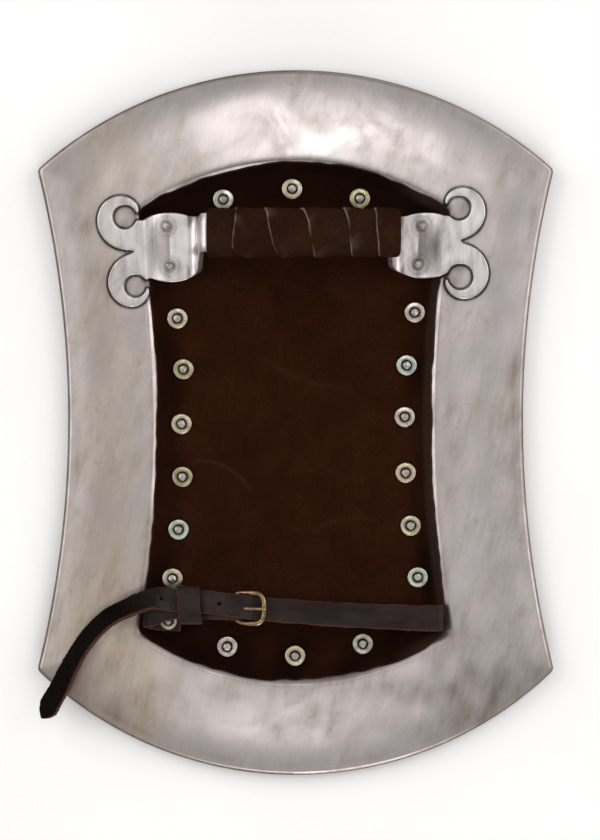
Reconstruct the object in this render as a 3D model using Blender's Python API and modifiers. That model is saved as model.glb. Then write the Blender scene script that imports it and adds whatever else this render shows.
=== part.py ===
"""Four-cornered steel hand shield with a bowed top and bottom and hollow sides.

It lies on its front with the back up: +X to the right, +Y to the top edge, +Z away from the front.
One steel plate has a turned rim and a middle panel pressed towards the front. A suede lining is riveted
in the panel, a scroll-ended steel handle with a wound leather grip crosses it near the top, and a
two-part leather arm strap with a brass buckle crosses it near the bottom.
"""

import math

import bmesh
import bpy
import numpy as np
from mathutils import Matrix, Vector

MM = 0.001
GAP = 0.3 * MM  # clearance between pieces that touch

# steel plate
STEEL = 1.6 * MM
RIM_HALF_WIDTH = 163.3 * MM
RIM_HALF_HEIGHT = 158.1 * MM
RIM_TOP_RISE = 63.0 * MM
RIM_BOTTOM_RISE = 66.5 * MM
RIM_SIDE_DIP = 19.5 * MM
RIM_CENTRE_Y = (RIM_BOTTOM_RISE - RIM_TOP_RISE) / 2  # puts the whole outline's middle at the origin
RIM_TURN = 3.5 * MM  # radius of the edge turned towards the front
RIM_DROP = 2.5 * MM  # fall of the flange from its crown to the turned edge
CROWN_FROM_EDGE = 14.0 * MM
CROWN_DROP = 1.0 * MM
SIDE_POINTS = 8  # facets along each hollow side
END_POINTS = 14  # facets along each bowed end

# pressed panel, measured at the lining's cut edge
PANEL_CENTRE_X = -1.0 * MM
PANEL_CENTRE_Y = 0.6 * MM
PANEL_HALF_WIDTH = 97.2 * MM
PANEL_HALF_HEIGHT = 132.2 * MM
PANEL_TOP_RISE = 30.4 * MM
PANEL_BOTTOM_RISE = 30.2 * MM
PANEL_SIDE_DIP = 11.7 * MM
DISH_DEPTH = 8.0 * MM
SHOULDER_OUT = 4.5 * MM  # bare steel shoulder outside the lining
FOOT_IN = 6.0 * MM  # where the wall meets the flat floor
WALL_STEPS = (0.0, 0.18, 0.375, 0.56, 0.78, 1.0)
LINING_TOP = 0.375  # the lining's cut edge lies at this step of the wall
LINING = 1.5 * MM
# the panel's corners: outwards to the left and right, and up
SIDE_LINES = {-1: PANEL_HALF_WIDTH - PANEL_CENTRE_X, 1: PANEL_HALF_WIDTH + PANEL_CENTRE_X}
TOP_LINE = PANEL_CENTRE_Y + PANEL_HALF_HEIGHT
BOTTOM_LINE = PANEL_CENTRE_Y - PANEL_HALF_HEIGHT

# rivets and washers
SHANK_RADIUS = 2.0 * MM
RIVET_HOLE = SHANK_RADIUS + GAP  # radius of every hole that a shank passes
HEAD_RADIUS = 5.0 * MM
HEAD_HEIGHT = 2.2 * MM
HEAD_FLAT_RADIUS = 2.2 * MM
PEEN_RADIUS = 2.6 * MM
PEEN_HEIGHT = 1.5 * MM
WASHER_RADIUS = 6.4 * MM
WASHER = 1.2 * MM
STRAP_WASHER_RADIUS = 5.6 * MM
RIVET_SIDES = 8
WASHER_SIDES = 8
HOLE_SIDES = 8
# each rivet's place as a share of the way from the middle to a corner, and millimetres in from the edge
LINING_RIVETS = {
    "left": ((0.493, 14.6), (0.25, 16.3), (-0.011, 14.4), (-0.264, 15.8), (-0.517, 15.6), (-0.75, 15.3)),
    "right": ((0.522, 12.4), (0.269, 15.1), (0.022, 15.5), (-0.245, 15.6), (-0.498, 14.6), (-0.745, 13.8)),
    "top": ((-0.46, 16.2), (-0.012, 15.5), (0.428, 16.5)),
    "bottom": ((-0.434, 14.9), (0.007, 14.4), (0.448, 16.4)),
}

# levels, from the floor that the front rivet heads rest on
Z_PANEL = HEAD_HEIGHT + GAP + STEEL
Z_LINING = Z_PANEL + GAP + LINING
Z_FLANGE = Z_PANEL + DISH_DEPTH

# handle
HANDLE = 3.0 * MM
BAR_WIDTH = 24.0 * MM
BAR_BELOW_TOP = 15.8 * MM  # the bar's middle under the panel's upper corners
BAR_CENTRE_Y = TOP_LINE - BAR_BELOW_TOP
FINGER_GAP = 26.0 * MM
GRIP_RADIUS = 15.5 * MM
GRIP_END_ROUND = 2.5 * MM
RISER_IN = 29.8 * MM  # the riser's foot inside half the panel's width
RISER_FOOT = PANEL_HALF_WIDTH - RISER_IN
GRIP_LEFT_IN = 12.9 * MM  # the grip's ends inside the risers' feet
GRIP_RIGHT_IN = 2.8 * MM
GRIP_LEFT = GRIP_LEFT_IN - RISER_FOOT
GRIP_RIGHT = RISER_FOOT - GRIP_RIGHT_IN
RISER_LOWER_BEND = 7.5 * MM
RISER_UPPER_BEND = 3.0 * MM
RISER_LEAN = math.radians(85)
NECK_BELOW_BAR = 14.0 * MM  # the riser keeps the bar's width this far down
STEP_IN = 3.5 * MM  # the plate starts down from the flange this far inside the panel's corners
STEP_OUTER = {side: line - STEP_IN for side, line in SIDE_LINES.items()}
STEP_RUN = 10.5 * MM
STEP_SLANT = 0.05  # the step leans outwards going up, as the panel's wall does
OVAL_POWER = 2.25
BEYOND = 60.0 * MM  # runs past the scrolls' outer edges

# arm strap
STRAP = 2.4 * MM
STRAP_WIDTH = 14.6 * MM
LOOP_RISE = 10.8 * MM  # how far the strap's upper layer stands over its riveted layer
BAR_RISE = 4.8 * MM
FOLD_SHAPE = ((-7.2, 0.06), (-4.6, 0.25), (-1.9, 0.48), (0.0, 0.68), (-0.2, 0.84), (-1.7, 0.96), (-4.1, 1.0))
HOLE_RADIUS = 1.5 * MM
HOLE_SPACING = 19.0 * MM
HOLES = 7
TIP_TAPER = 7.0 * MM
TIP_SHARE = 0.2
BUCKLE_IN = 60.7 * MM  # the buckle's bar inside the panel's left corners
BUCKLE_OVER_BOTTOM = 15.6 * MM  # and over its lower corners
BUCKLE_X = BUCKLE_IN - SIDE_LINES[-1]
BUCKLE_Y = BOTTOM_LINE + BUCKLE_OVER_BOTTOM
LEFT_FOLD_IN = 3.8 * MM  # each fold inside the panel's corners
RIGHT_FOLD_IN = 4.4 * MM
LEFT_FOLD = LEFT_FOLD_IN - SIDE_LINES[-1]
RIGHT_FOLD = SIDE_LINES[1] - RIGHT_FOLD_IN
FIRST_HOLE = 10.1 * MM  # beyond the buckle's bar
KEEPER_FROM_BUCKLE = 21.8 * MM
KEEPER_WIDTH = 14.4 * MM
KEEPER_UP = 1.6 * MM  # the keeper's middle over the buckle's
KEEPER_RIGHT = BUCKLE_X - KEEPER_FROM_BUCKLE
KEEPER_LEFT = KEEPER_RIGHT - KEEPER_WIDTH
KEEPER_CENTRE_Y = BUCKLE_Y + KEEPER_UP
KEEPER_HALF_SPAN = 10.5 * MM
KEEPER = 1.8 * MM

# buckle
BUCKLE_WIRE = 1.3 * MM
PRONG_WIRE = 1.1 * MM
BUCKLE_LENGTH = 18.5 * MM
BUCKLE_HALF_WIDTH = 9.6 * MM
BUCKLE_TILT = math.radians(15)

Z_UNDER = Z_LINING + GAP + STRAP / 2
Z_LOOP = Z_UNDER + LOOP_RISE
Z_TAIL = Z_LOOP + STRAP + GAP
Z_BAR = Z_LOOP + BAR_RISE
Z_GRIP = Z_LINING + FINGER_GAP + GRIP_RADIUS
Z_HANDLE_FLOOR = Z_LINING + GAP + HANDLE / 2
Z_HANDLE_FLANGE = Z_FLANGE + GAP + HANDLE / 2

LEFT_RIVET_IN = 14.2 * MM  # each strap rivet inside its fold
RIGHT_RIVET_IN = 15.2 * MM
STRAP_RIVETS = {
    "left": (LEFT_FOLD + LEFT_RIVET_IN, BUCKLE_Y - 9.0 * MM),
    "right": (RIGHT_FOLD - RIGHT_RIVET_IN, BUCKLE_Y - 7.4 * MM),
}

# each handle end in millimetres out from the panel's corners and up from the bar: the oval's centre and half
# sizes, its rivets, and two scrolls given by their hollow's centre and radius, the angles of junction, tip
# and root, and the tip and root radii
HANDLE_ENDS = {
    -1: {
        "oval": (-19.1, -6.4, 23.3, 22.0),
        "rivets": ((-16.6, 6.8), (-18.8, -18.2)),
        "scrolls": (
            (9.3, 12.3, 7.6, 196, 156, -98, 9.5, 21.0),
            (2.5, -31.1, 7.2, 213, 168, -80, 8.3, 20.4),
        ),
        "notch": (2.8, -9.4),
    },
    1: {
        "oval": (-14.6, -5.3, 23.3, 20.8),
        "rivets": ((-16.5, 6.8), (-19.0, -17.1)),
        "scrolls": (
            (6.6, 18.0, 7.8, 217, 160, -82, 9.1, 19.6),
            (7.4, -25.3, 8.2, 198, 167, -84, 9.4, 21.2),
        ),
        "notch": (7.4, -2.7),
    },
}

COLOURS = {
    "steel": (0.62, 0.58, 0.57, 1, 0.34, 1.0),
    "handle_steel": (0.58, 0.55, 0.55, 1, 0.38, 1.0),
    "rivet_steel": (0.50, 0.46, 0.44, 1, 0.40, 1.0),
    "washer_zinc": (0.62, 0.57, 0.42, 1, 0.35, 1.0),
    "suede": (0.045, 0.018, 0.009, 1, 0.95, 0.0),
    "grip_suede": (0.050, 0.021, 0.011, 1, 0.92, 0.0),
    "strap_leather": (0.045, 0.028, 0.022, 1, 0.55, 0.0),
    "brass": (0.45, 0.33, 0.17, 1, 0.35, 1.0),
}

for old in list(bpy.data.objects):
    bpy.data.objects.remove(old)
parts = bpy.data.collections.new("rectangular_shield")
cutters = bpy.data.collections.new("cutters")
bpy.context.scene.collection.children.link(parts)
bpy.context.scene.collection.children.link(cutters)


def material(name):
    """A Principled material with the colour, roughness and metallic value of one finish."""
    found = bpy.data.materials.get(name)
    if found:
        return found
    made = bpy.data.materials.new(name)
    made.use_nodes = True
    shader = made.node_tree.nodes["Principled BSDF"]
    *colour, roughness, metallic = COLOURS[name]
    shader.inputs["Base Color"].default_value = colour
    shader.inputs["Roughness"].default_value = roughness
    shader.inputs["Metallic"].default_value = metallic
    return made


def add_piece(name, data, finish):
    """A named object in the parts collection."""
    piece = bpy.data.objects.new(name, data)
    data.materials.append(material(finish))
    parts.objects.link(piece)
    return piece


def add_cutter(name, data):
    """A hidden object in the cutters collection."""
    cutter = bpy.data.objects.new(name, data)
    cutter.hide_render = True
    cutter.display_type = "WIRE"
    cutters.objects.link(cutter)
    return cutter


def mesh_from(name, build):
    """A mesh that the given function fills through bmesh."""
    mesh = bpy.data.meshes.new(name)
    shape = bmesh.new()
    build(shape)
    shape.to_mesh(mesh)
    shape.free()
    return mesh


def add_solidify(piece, thickness, offset):
    """Gives an open surface its wall."""
    wall = piece.modifiers.new("wall", "SOLIDIFY")
    wall.thickness = thickness
    wall.offset = offset
    wall.use_even_offset = True


def cut(piece, cutter):
    """Takes a cutter out of a piece."""
    boolean = piece.modifiers.new("cut_" + cutter.name, "BOOLEAN")
    boolean.operation = "DIFFERENCE"
    boolean.object = cutter


def spread(count):
    """Shares from 0 to 1, closer together near both ends."""
    even = np.linspace(0.0, 1.0, count + 1)
    return 0.45 * even + 0.55 * (0.5 - 0.5 * np.cos(math.pi * even))


def arc(start, end, rise, count):
    """Points of a circular arc from start to end that stands out to the left by rise."""
    start = np.array(start)
    end = np.array(end)
    half = np.linalg.norm(end - start) / 2
    along = (end - start) / (2 * half)
    left = np.array([-along[1], along[0]])
    radius = (half ** 2 + rise ** 2) / (2 * abs(rise))
    x = (2 * spread(count)[:-1] - 1) * half
    height = np.sign(rise) * (np.sqrt(radius ** 2 - x ** 2) - (radius - abs(rise)))
    middle = (start + end) / 2
    return middle + x[:, None] * along + height[:, None] * left


def four_arcs(centre, half_width, half_height, top, bottom, dip):
    """A closed outline of four arcs with softened corners, anticlockwise from the lower right."""
    w, h = half_width, half_height
    points = np.vstack([
        arc((w, -h), (w, h), dip, SIDE_POINTS),
        arc((w, h), (-w, h), -top, END_POINTS),
        arc((-w, h), (-w, -h), dip, SIDE_POINTS),
        arc((-w, -h), (w, -h), -bottom, END_POINTS),
    ])
    for corner in np.cumsum([0, SIDE_POINTS, END_POINTS, SIDE_POINTS]):
        neighbours = points[corner - 1] + points[(corner + 1) % len(points)]
        points[corner] = 0.8 * points[corner] + 0.1 * neighbours
    return points + np.array(centre)


def offset_arcs(centre, half_width, half_height, top, bottom, dip, out):
    """The four-arc outline moved out by one distance all round, with its corners kept sharp."""
    bow = 2 * math.atan(top / half_width)  # the end arcs' slope at a corner
    hollow = 2 * math.atan(dip / half_height)  # the side arcs' slope at a corner
    up = out * (math.cos(hollow) - math.sin(bow)) / math.cos(bow - hollow)
    across = (out + math.sin(hollow) * up) / math.cos(hollow)
    return four_arcs(centre, half_width + across, half_height + up,
                     top + out - up, bottom + out - up, dip + across - out)


def rim_outline(inset):
    """The shield's outline, moved in from the edge."""
    return offset_arcs((0.0, RIM_CENTRE_Y), RIM_HALF_WIDTH, RIM_HALF_HEIGHT,
                       RIM_TOP_RISE, RIM_BOTTOM_RISE, RIM_SIDE_DIP, -inset)


def panel_outline(outset):
    """The panel's outline, moved out from the lining's edge."""
    return offset_arcs((PANEL_CENTRE_X, PANEL_CENTRE_Y), PANEL_HALF_WIDTH, PANEL_HALF_HEIGHT,
                       PANEL_TOP_RISE, PANEL_BOTTOM_RISE, PANEL_SIDE_DIP, outset)


def wall_ring(step, lift):
    """One ring on the panel's smooth wall: step 0 is its shoulder and 1 its foot, lift is square to it."""
    run = SHOULDER_OUT + FOOT_IN
    share = 1 - step
    slope = math.atan(6 * share * (1 - share) * DISH_DEPTH / run)
    height = Z_PANEL + DISH_DEPTH * (3 - 2 * share) * share ** 2
    outset = SHOULDER_OUT - run * step - lift * math.sin(slope)
    return panel_outline(outset), height + lift * math.cos(slope)


def loft(rings):
    """A builder that joins rings of (points, height) from the outside in and fills the last."""
    def build(shape):
        rows = [[shape.verts.new((x, y, z)) for x, y in ring] for ring, z in rings]
        for outer, inner in zip(rows, rows[1:]):
            for i, vertex in enumerate(outer):
                j = (i + 1) % len(outer)
                shape.faces.new((vertex, outer[j], inner[j], inner[i]))
        shape.faces.new(rows[-1])
    return build


def bow(place, half, rise):
    """How far a circular arc stands off its chord, at a place along it from the middle."""
    radius = (half ** 2 + rise ** 2) / (2 * rise)
    return math.sqrt(radius ** 2 - place ** 2) - (radius - rise)


def lining_rivet_places():
    """The lining's rivets, each set in from the nearest edge of the panel."""
    places = []
    for edge, rows in LINING_RIVETS.items():
        for share, inset in rows:
            if edge in ("left", "right"):
                y = share * PANEL_HALF_HEIGHT
                x = PANEL_HALF_WIDTH - bow(y, PANEL_HALF_HEIGHT, PANEL_SIDE_DIP) - inset * MM
                x = -x if edge == "left" else x
            else:
                x = share * PANEL_HALF_WIDTH
                rise = PANEL_TOP_RISE if edge == "top" else PANEL_BOTTOM_RISE
                y = PANEL_HALF_HEIGHT + bow(x, PANEL_HALF_WIDTH, rise) - inset * MM
                y = y if edge == "top" else -y
            places.append((PANEL_CENTRE_X + x, PANEL_CENTRE_Y + y))
    return places


def handle_rivet_places(side):
    """The upper and lower rivet of one handle end."""
    rivets = HANDLE_ENDS[side]["rivets"]
    return [(side * (SIDE_LINES[side] + out * MM), BAR_CENTRE_Y + up * MM) for out, up in rivets]


def rivet_places():
    """Every rivet as name, place across and up, and the height of what its upper end is peened over."""
    places = []
    for number, (x, y) in enumerate(lining_rivet_places(), 1):
        places.append((f"lining_rivet_{number:02d}", x, y, Z_LINING + GAP + WASHER))
    for side, word in ((-1, "left"), (1, "right")):
        for level, (x, y) in zip(("upper", "lower"), handle_rivet_places(side)):
            places.append((f"handle_rivet_{word}_{level}", x, y, Z_HANDLE_FLOOR + HANDLE / 2))
    for word, (x, y) in STRAP_RIVETS.items():
        places.append((f"strap_rivet_{word}", x, y, Z_UNDER + STRAP / 2 + GAP + WASHER))
    return places


def hole_cutter(name, places, radius, low, high):
    """Upright round cutters at the given places, in one object."""
    def build(shape):
        for x, y in places:
            place = Matrix.Translation((x, y, (low + high) / 2))
            bmesh.ops.create_cone(shape, cap_ends=True, segments=HOLE_SIDES, radius1=radius,
                                  radius2=radius, depth=high - low, matrix=place)
    return add_cutter(name, mesh_from(name, build))


def box_cutter(name, low, high):
    """A box cutter between two corners."""
    size = Vector(high) - Vector(low)
    place = Matrix.Translation((Vector(low) + Vector(high)) / 2) @ Matrix.Diagonal((*size, 1))
    mesh = mesh_from(name, lambda shape: bmesh.ops.create_cube(shape, size=1, matrix=place))
    return add_cutter(name, mesh)


def build_plate():
    """The steel plate: turned rim, crowned flange, shoulder, wall and flat panel, with rivet holes."""
    edge = Z_FLANGE - RIM_DROP
    bend = RIM_TURN * math.sin(math.radians(45))
    rings = [
        (rim_outline(0), edge - RIM_TURN),
        (rim_outline(RIM_TURN - bend), edge - RIM_TURN + bend),
        (rim_outline(RIM_TURN), edge),
        (rim_outline(CROWN_FROM_EDGE), Z_FLANGE - CROWN_DROP),
        ((rim_outline(CROWN_FROM_EDGE) + panel_outline(SHOULDER_OUT)) / 2, Z_FLANGE),
    ]
    rings += [wall_ring(step, 0) for step in WALL_STEPS]
    plate = add_piece("shield_plate", mesh_from("shield_plate", loft(rings)), "steel")
    add_solidify(plate, STEEL, -1)
    places = [(x, y) for _, x, y, _ in rivet_places()]
    cut(plate, hole_cutter("plate_holes", places, RIVET_HOLE, 0, Z_LINING))


def build_lining():
    """The suede lining on the panel's floor and wall."""
    rings = [wall_ring(step, GAP + LINING) for step in WALL_STEPS if step >= LINING_TOP]
    lining = add_piece("leather_lining", mesh_from("leather_lining", loft(rings)), "suede")
    add_solidify(lining, LINING, -1)
    places = [(x, y) for _, x, y, _ in rivet_places()]
    cut(lining, hole_cutter("lining_holes", places, RIVET_HOLE, 0, Z_LINING + LINING))


def turned(name, profile, sides, finish, place):
    """A turned piece from a profile of (radius, height) that runs down its outer side."""
    def build(shape):
        points = [shape.verts.new((radius, 0, height)) for radius, height in profile]
        for first, second in zip(points, points[1:]):
            shape.edges.new((first, second))
        if profile[0][0] > 0:
            shape.edges.new((points[-1], points[0]))
    piece = add_piece(name, mesh_from(name, build), finish)
    screw = piece.modifiers.new("turn", "SCREW")
    screw.steps = sides
    screw.render_steps = sides
    screw.use_merge_vertices = True
    screw.merge_threshold = 0.00001
    piece.location = place
    return piece


def build_rivets():
    """A domed front head, a shank and an upper end hammered over, for each rivet."""
    for name, x, y, top in rivet_places():
        low = top + GAP
        profile = [
            (0, low + PEEN_HEIGHT),
            (PEEN_RADIUS * 0.65, low + PEEN_HEIGHT * 0.85),
            (PEEN_RADIUS, low),
            (SHANK_RADIUS, low),
            (SHANK_RADIUS, HEAD_HEIGHT),
            (HEAD_RADIUS, HEAD_HEIGHT),
            (HEAD_RADIUS * 0.86, HEAD_HEIGHT * 0.45),
            (HEAD_FLAT_RADIUS, 0),
            (0, 0),
        ]
        turned(name, profile, RIVET_SIDES, "rivet_steel", (x, y, 0))


def build_washers():
    """A flat washer under each peened end that sits on leather."""
    inner = RIVET_HOLE
    for name, x, y, top in rivet_places():
        if name.startswith("handle"):
            continue
        outer = WASHER_RADIUS if name.startswith("lining") else STRAP_WASHER_RADIUS
        profile = [(outer, WASHER), (outer, 0), (inner, 0), (inner, WASHER)]
        turned(name.replace("rivet", "washer"), profile, WASHER_SIDES, "washer_zinc", (x, y, top - WASHER))


def handle_path(side):
    """Outward distance and height of the handle's middle surface, from mid-grip to beyond the scrolls."""
    bend_down = np.linspace(0, RISER_LEAN, 5)
    foot_height = Z_HANDLE_FLOOR + RISER_LOWER_BEND * (1 - math.cos(RISER_LEAN))
    head_height = Z_GRIP - RISER_UPPER_BEND * (1 - math.cos(RISER_LEAN))
    foot_out = RISER_FOOT - RISER_LOWER_BEND * math.sin(RISER_LEAN)
    head_out = foot_out - (head_height - foot_height) / math.tan(RISER_LEAN)
    bar_out = head_out - RISER_UPPER_BEND * math.sin(RISER_LEAN)
    points = [(0.0, Z_GRIP)]
    for angle in bend_down:
        out = bar_out + RISER_UPPER_BEND * math.sin(angle)
        points.append((out, Z_GRIP - RISER_UPPER_BEND * (1 - math.cos(angle))))
    for angle in bend_down[::-1]:
        out = RISER_FOOT - RISER_LOWER_BEND * math.sin(angle)
        points.append((out, Z_HANDLE_FLOOR + RISER_LOWER_BEND * (1 - math.cos(angle))))
    for share in np.linspace(0, 1, 7):
        out = STEP_OUTER[side] - STEP_RUN * (1 - share)
        rise = (Z_HANDLE_FLANGE - Z_HANDLE_FLOOR) * (3 - 2 * share) * share ** 2
        points.append((out, Z_HANDLE_FLOOR + rise))
    points.append((STEP_OUTER[side] + BEYOND, Z_HANDLE_FLANGE))
    return np.array(points), bar_out


def scroll_points(scroll, up):
    """A scroll's hollow from junction to tip, then its spiral outer edge from tip to root."""
    x, y, hollow, junction, tip, root, tip_radius, root_radius = scroll
    inner = np.radians(np.linspace(junction, tip + 360, 12))
    turn = np.linspace(0, 1, 13)
    outer = np.radians(tip + (root - tip) * turn)
    radius = tip_radius + (root_radius - tip_radius) * turn ** 0.85
    rows = [(x + hollow * math.cos(a), y + up * hollow * math.sin(a)) for a in inner]
    rows += [(x + r * math.cos(a), y + up * r * math.sin(a)) for a, r in zip(outer, radius)]
    return rows


def handle_end_outline(side):
    """One handle end in plan, from the riser's upper side round both scrolls to its lower side."""
    end = HANDLE_ENDS[side]
    cx, cy, rx, ry = end["oval"]
    points = []
    for up, scroll in zip((1, -1), end["scrolls"]):
        outline = scroll_points(scroll, up)
        reach = (outline[0][0] - cx, up * (outline[0][1] - cy))
        stop = math.degrees(math.atan2(*reach[::-1])) + 9
        half = []
        for angle in np.radians(np.linspace(117, stop, 7)):
            power = 2 / OVAL_POWER
            x = cx + rx * math.copysign(abs(math.cos(angle)) ** power, math.cos(angle))
            half.append((x, cy + up * ry * math.sin(angle) ** power))
        half += outline
        points.append(half)
    upper, lower = points
    outline = np.array(upper + [end["notch"]] + lower[::-1]) * MM
    return outline + np.array([SIDE_LINES[side], BAR_CENTRE_Y])


def build_handle():
    """The handle: scroll ends on the flange, ovals riveted in the panel, risers and the grip's bar."""
    flat = []
    paths = {}
    for side in (1, -1):
        path, bar_out = handle_path(side)
        pieces = np.diff(path, axis=0)
        length = np.concatenate([[0], np.cumsum(np.linalg.norm(pieces, axis=1))])
        pieces /= np.linalg.norm(pieces, axis=1)[:, None]
        normals = np.stack([-pieces[:, 1], pieces[:, 0]], axis=1)
        before = np.vstack([normals[:1], normals])
        after = np.vstack([normals, normals[-1:]])
        square = (before + after) / (1 + np.sum(before * after, axis=1))[:, None]
        paths[side] = (path, length, square)
        outline = handle_end_outline(side)
        lying = path[:, 0] >= RISER_FOOT - GAP
        along = np.interp(outline[:, 0], path[lying, 0], length[lying])
        neck = length[5] + NECK_BELOW_BAR
        corners = [(neck, BAR_CENTRE_Y + BAR_WIDTH / 2)]
        corners += list(zip(along, outline[:, 1]))
        corners += [(neck, BAR_CENTRE_Y - BAR_WIDTH / 2)]
        corners = [(side * s, y) for s, y in corners]
        flat += corners[::-1] if side > 0 else corners

    def build(shape):
        face = shape.faces.new([shape.verts.new((s, y, -HANDLE / 2)) for s, y in flat])
        lifted = bmesh.ops.extrude_face_region(shape, geom=[face], use_keep_orig=True)["geom"]
        raised = [part for part in lifted if isinstance(part, bmesh.types.BMVert)]
        bmesh.ops.translate(shape, verts=raised, vec=(0, 0, HANDLE))
        for side, (_, length, _) in paths.items():
            for count, station in enumerate(length[1:-1], 1):
                everything = shape.verts[:] + shape.edges[:] + shape.faces[:]
                slant = STEP_SLANT if count > 10 else 0
                bmesh.ops.bisect_plane(shape, geom=everything, dist=1e-7, plane_no=(side, -slant, 0),
                                       plane_co=(side * station, BAR_CENTRE_Y, 0))
        for vertex in shape.verts:
            side = 1 if vertex.co.x > 0 else -1
            path, length, square = paths[side]
            run = abs(vertex.co.x)
            shift = STEP_SLANT * (vertex.co.y - BAR_CENTRE_Y) if run > (length[10] + length[11]) / 2 else 0
            run -= shift
            out = np.interp(run, length, path[:, 0]) + shift
            out += vertex.co.z * np.interp(run, length, square[:, 0])
            rise = np.interp(run, length, path[:, 1]) + vertex.co.z * np.interp(run, length, square[:, 1])
            vertex.co = (side * out, vertex.co.y, rise)
        bmesh.ops.triangulate(shape, faces=shape.faces[:])
        bmesh.ops.recalc_face_normals(shape, faces=shape.faces[:])

    handle = add_piece("handle", mesh_from("handle", build), "handle_steel")
    places = handle_rivet_places(-1) + handle_rivet_places(1)
    cut(handle, hole_cutter("handle_holes", places, RIVET_HOLE, Z_LINING, Z_FLANGE + HANDLE))


def build_grip():
    """The wound leather grip, slotted for the bar and notched where it hangs over the right riser."""
    length = GRIP_RIGHT - GRIP_LEFT

    def build(shape):
        bmesh.ops.create_cone(shape, cap_ends=True, segments=20, radius1=GRIP_RADIUS,
                              radius2=GRIP_RADIUS, depth=length)
        ends = [edge for edge in shape.edges if abs(edge.verts[0].co.z - edge.verts[1].co.z) < GAP]
        bmesh.ops.bevel(shape, geom=ends, offset=GRIP_END_ROUND, segments=2, affect="EDGES", profile=0.5)
    grip = add_piece("grip_wrap", mesh_from("grip_wrap", build), "grip_suede")
    grip.rotation_euler = (0, math.pi / 2, 0)
    grip.location = ((GRIP_LEFT + GRIP_RIGHT) / 2, BAR_CENTRE_Y, Z_GRIP)
    _, bar_out = handle_path(1)
    half = BAR_WIDTH / 2 + GAP
    thick = HANDLE / 2 + GAP
    low = (GRIP_LEFT - GRIP_RADIUS, BAR_CENTRE_Y - half, Z_GRIP - thick)
    high = (GRIP_RIGHT + GRIP_RADIUS, BAR_CENTRE_Y + half, Z_GRIP + thick)
    cut(grip, box_cutter("bar_slot", low, high))
    low = (bar_out - HANDLE / 2, BAR_CENTRE_Y - half, Z_GRIP - 2 * GRIP_RADIUS)
    cut(grip, box_cutter("riser_notch", low, (high[0], high[1], Z_GRIP)))


def smooth_path(points, step):
    """Points along a smooth curve through the given ones, about one step apart."""
    points = np.array(points)
    padded = np.vstack([2 * points[0] - points[1], points, 2 * points[-1] - points[-2]])
    rows = []
    for a, b, c, d in zip(padded, padded[1:], padded[2:], padded[3:]):
        spans = [max(np.linalg.norm(q - p), 1e-6) ** 0.5 for p, q in ((a, b), (b, c), (c, d))]
        knots = np.cumsum([0] + spans)
        count = max(1, round(float(np.linalg.norm(c - b)) / step))
        for t in knots[1] + (knots[2] - knots[1]) * np.arange(count) / count:
            ab = (a * (knots[1] - t) + b * (t - knots[0])) / (knots[1] - knots[0])
            bc = (b * (knots[2] - t) + c * (t - knots[1])) / (knots[2] - knots[1])
            cd = (c * (knots[3] - t) + d * (t - knots[2])) / (knots[3] - knots[2])
            left = (ab * (knots[2] - t) + bc * (t - knots[0])) / (knots[2] - knots[0])
            right = (bc * (knots[3] - t) + cd * (t - knots[1])) / (knots[3] - knots[1])
            rows.append((left * (knots[2] - t) + right * (t - knots[1])) / (knots[2] - knots[1]))
    return np.vstack([rows, points[-1]])


def strip_frame(path, tilt):
    """The unit direction along a strip and across it, tilted from level so that +Y's side dips."""
    along = np.gradient(path, axis=0)
    along /= np.linalg.norm(along, axis=1)[:, None]
    across = np.array([0.0, 1.0, 0.0]) - along[:, 1:2] * along
    across /= np.linalg.norm(across, axis=1)[:, None]
    tilt = np.where(tilt > 0, tilt + np.arcsin(across[:, 2]), 0)
    up = np.cross(across, along)
    up *= np.where(up[:, 2:3] < 0, -1, 1)
    return along, across * np.cos(tilt)[:, None] - up * np.sin(tilt)[:, None]


def strip_mesh(name, path, across, half_width):
    """An open strip of the given half width along a path."""
    def build(shape):
        rows = []
        for point, side, half in zip(path, across, half_width):
            rows.append([shape.verts.new(point - side * half), shape.verts.new(point + side * half)])
        for first, second in zip(rows, rows[1:]):
            shape.faces.new((first[0], second[0], second[1], first[1]))
    return mesh_from(name, build)


def fold_route(edge_x, side, y_low, y_high):
    """A strap's fold from its riveted layer up to its upper layer."""
    rows = []
    for out, share in FOLD_SHAPE:
        x = edge_x + side * out * MM
        rows.append((x, y_low + (y_high - y_low) * share, Z_UNDER + LOOP_RISE * share))
    return rows


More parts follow.
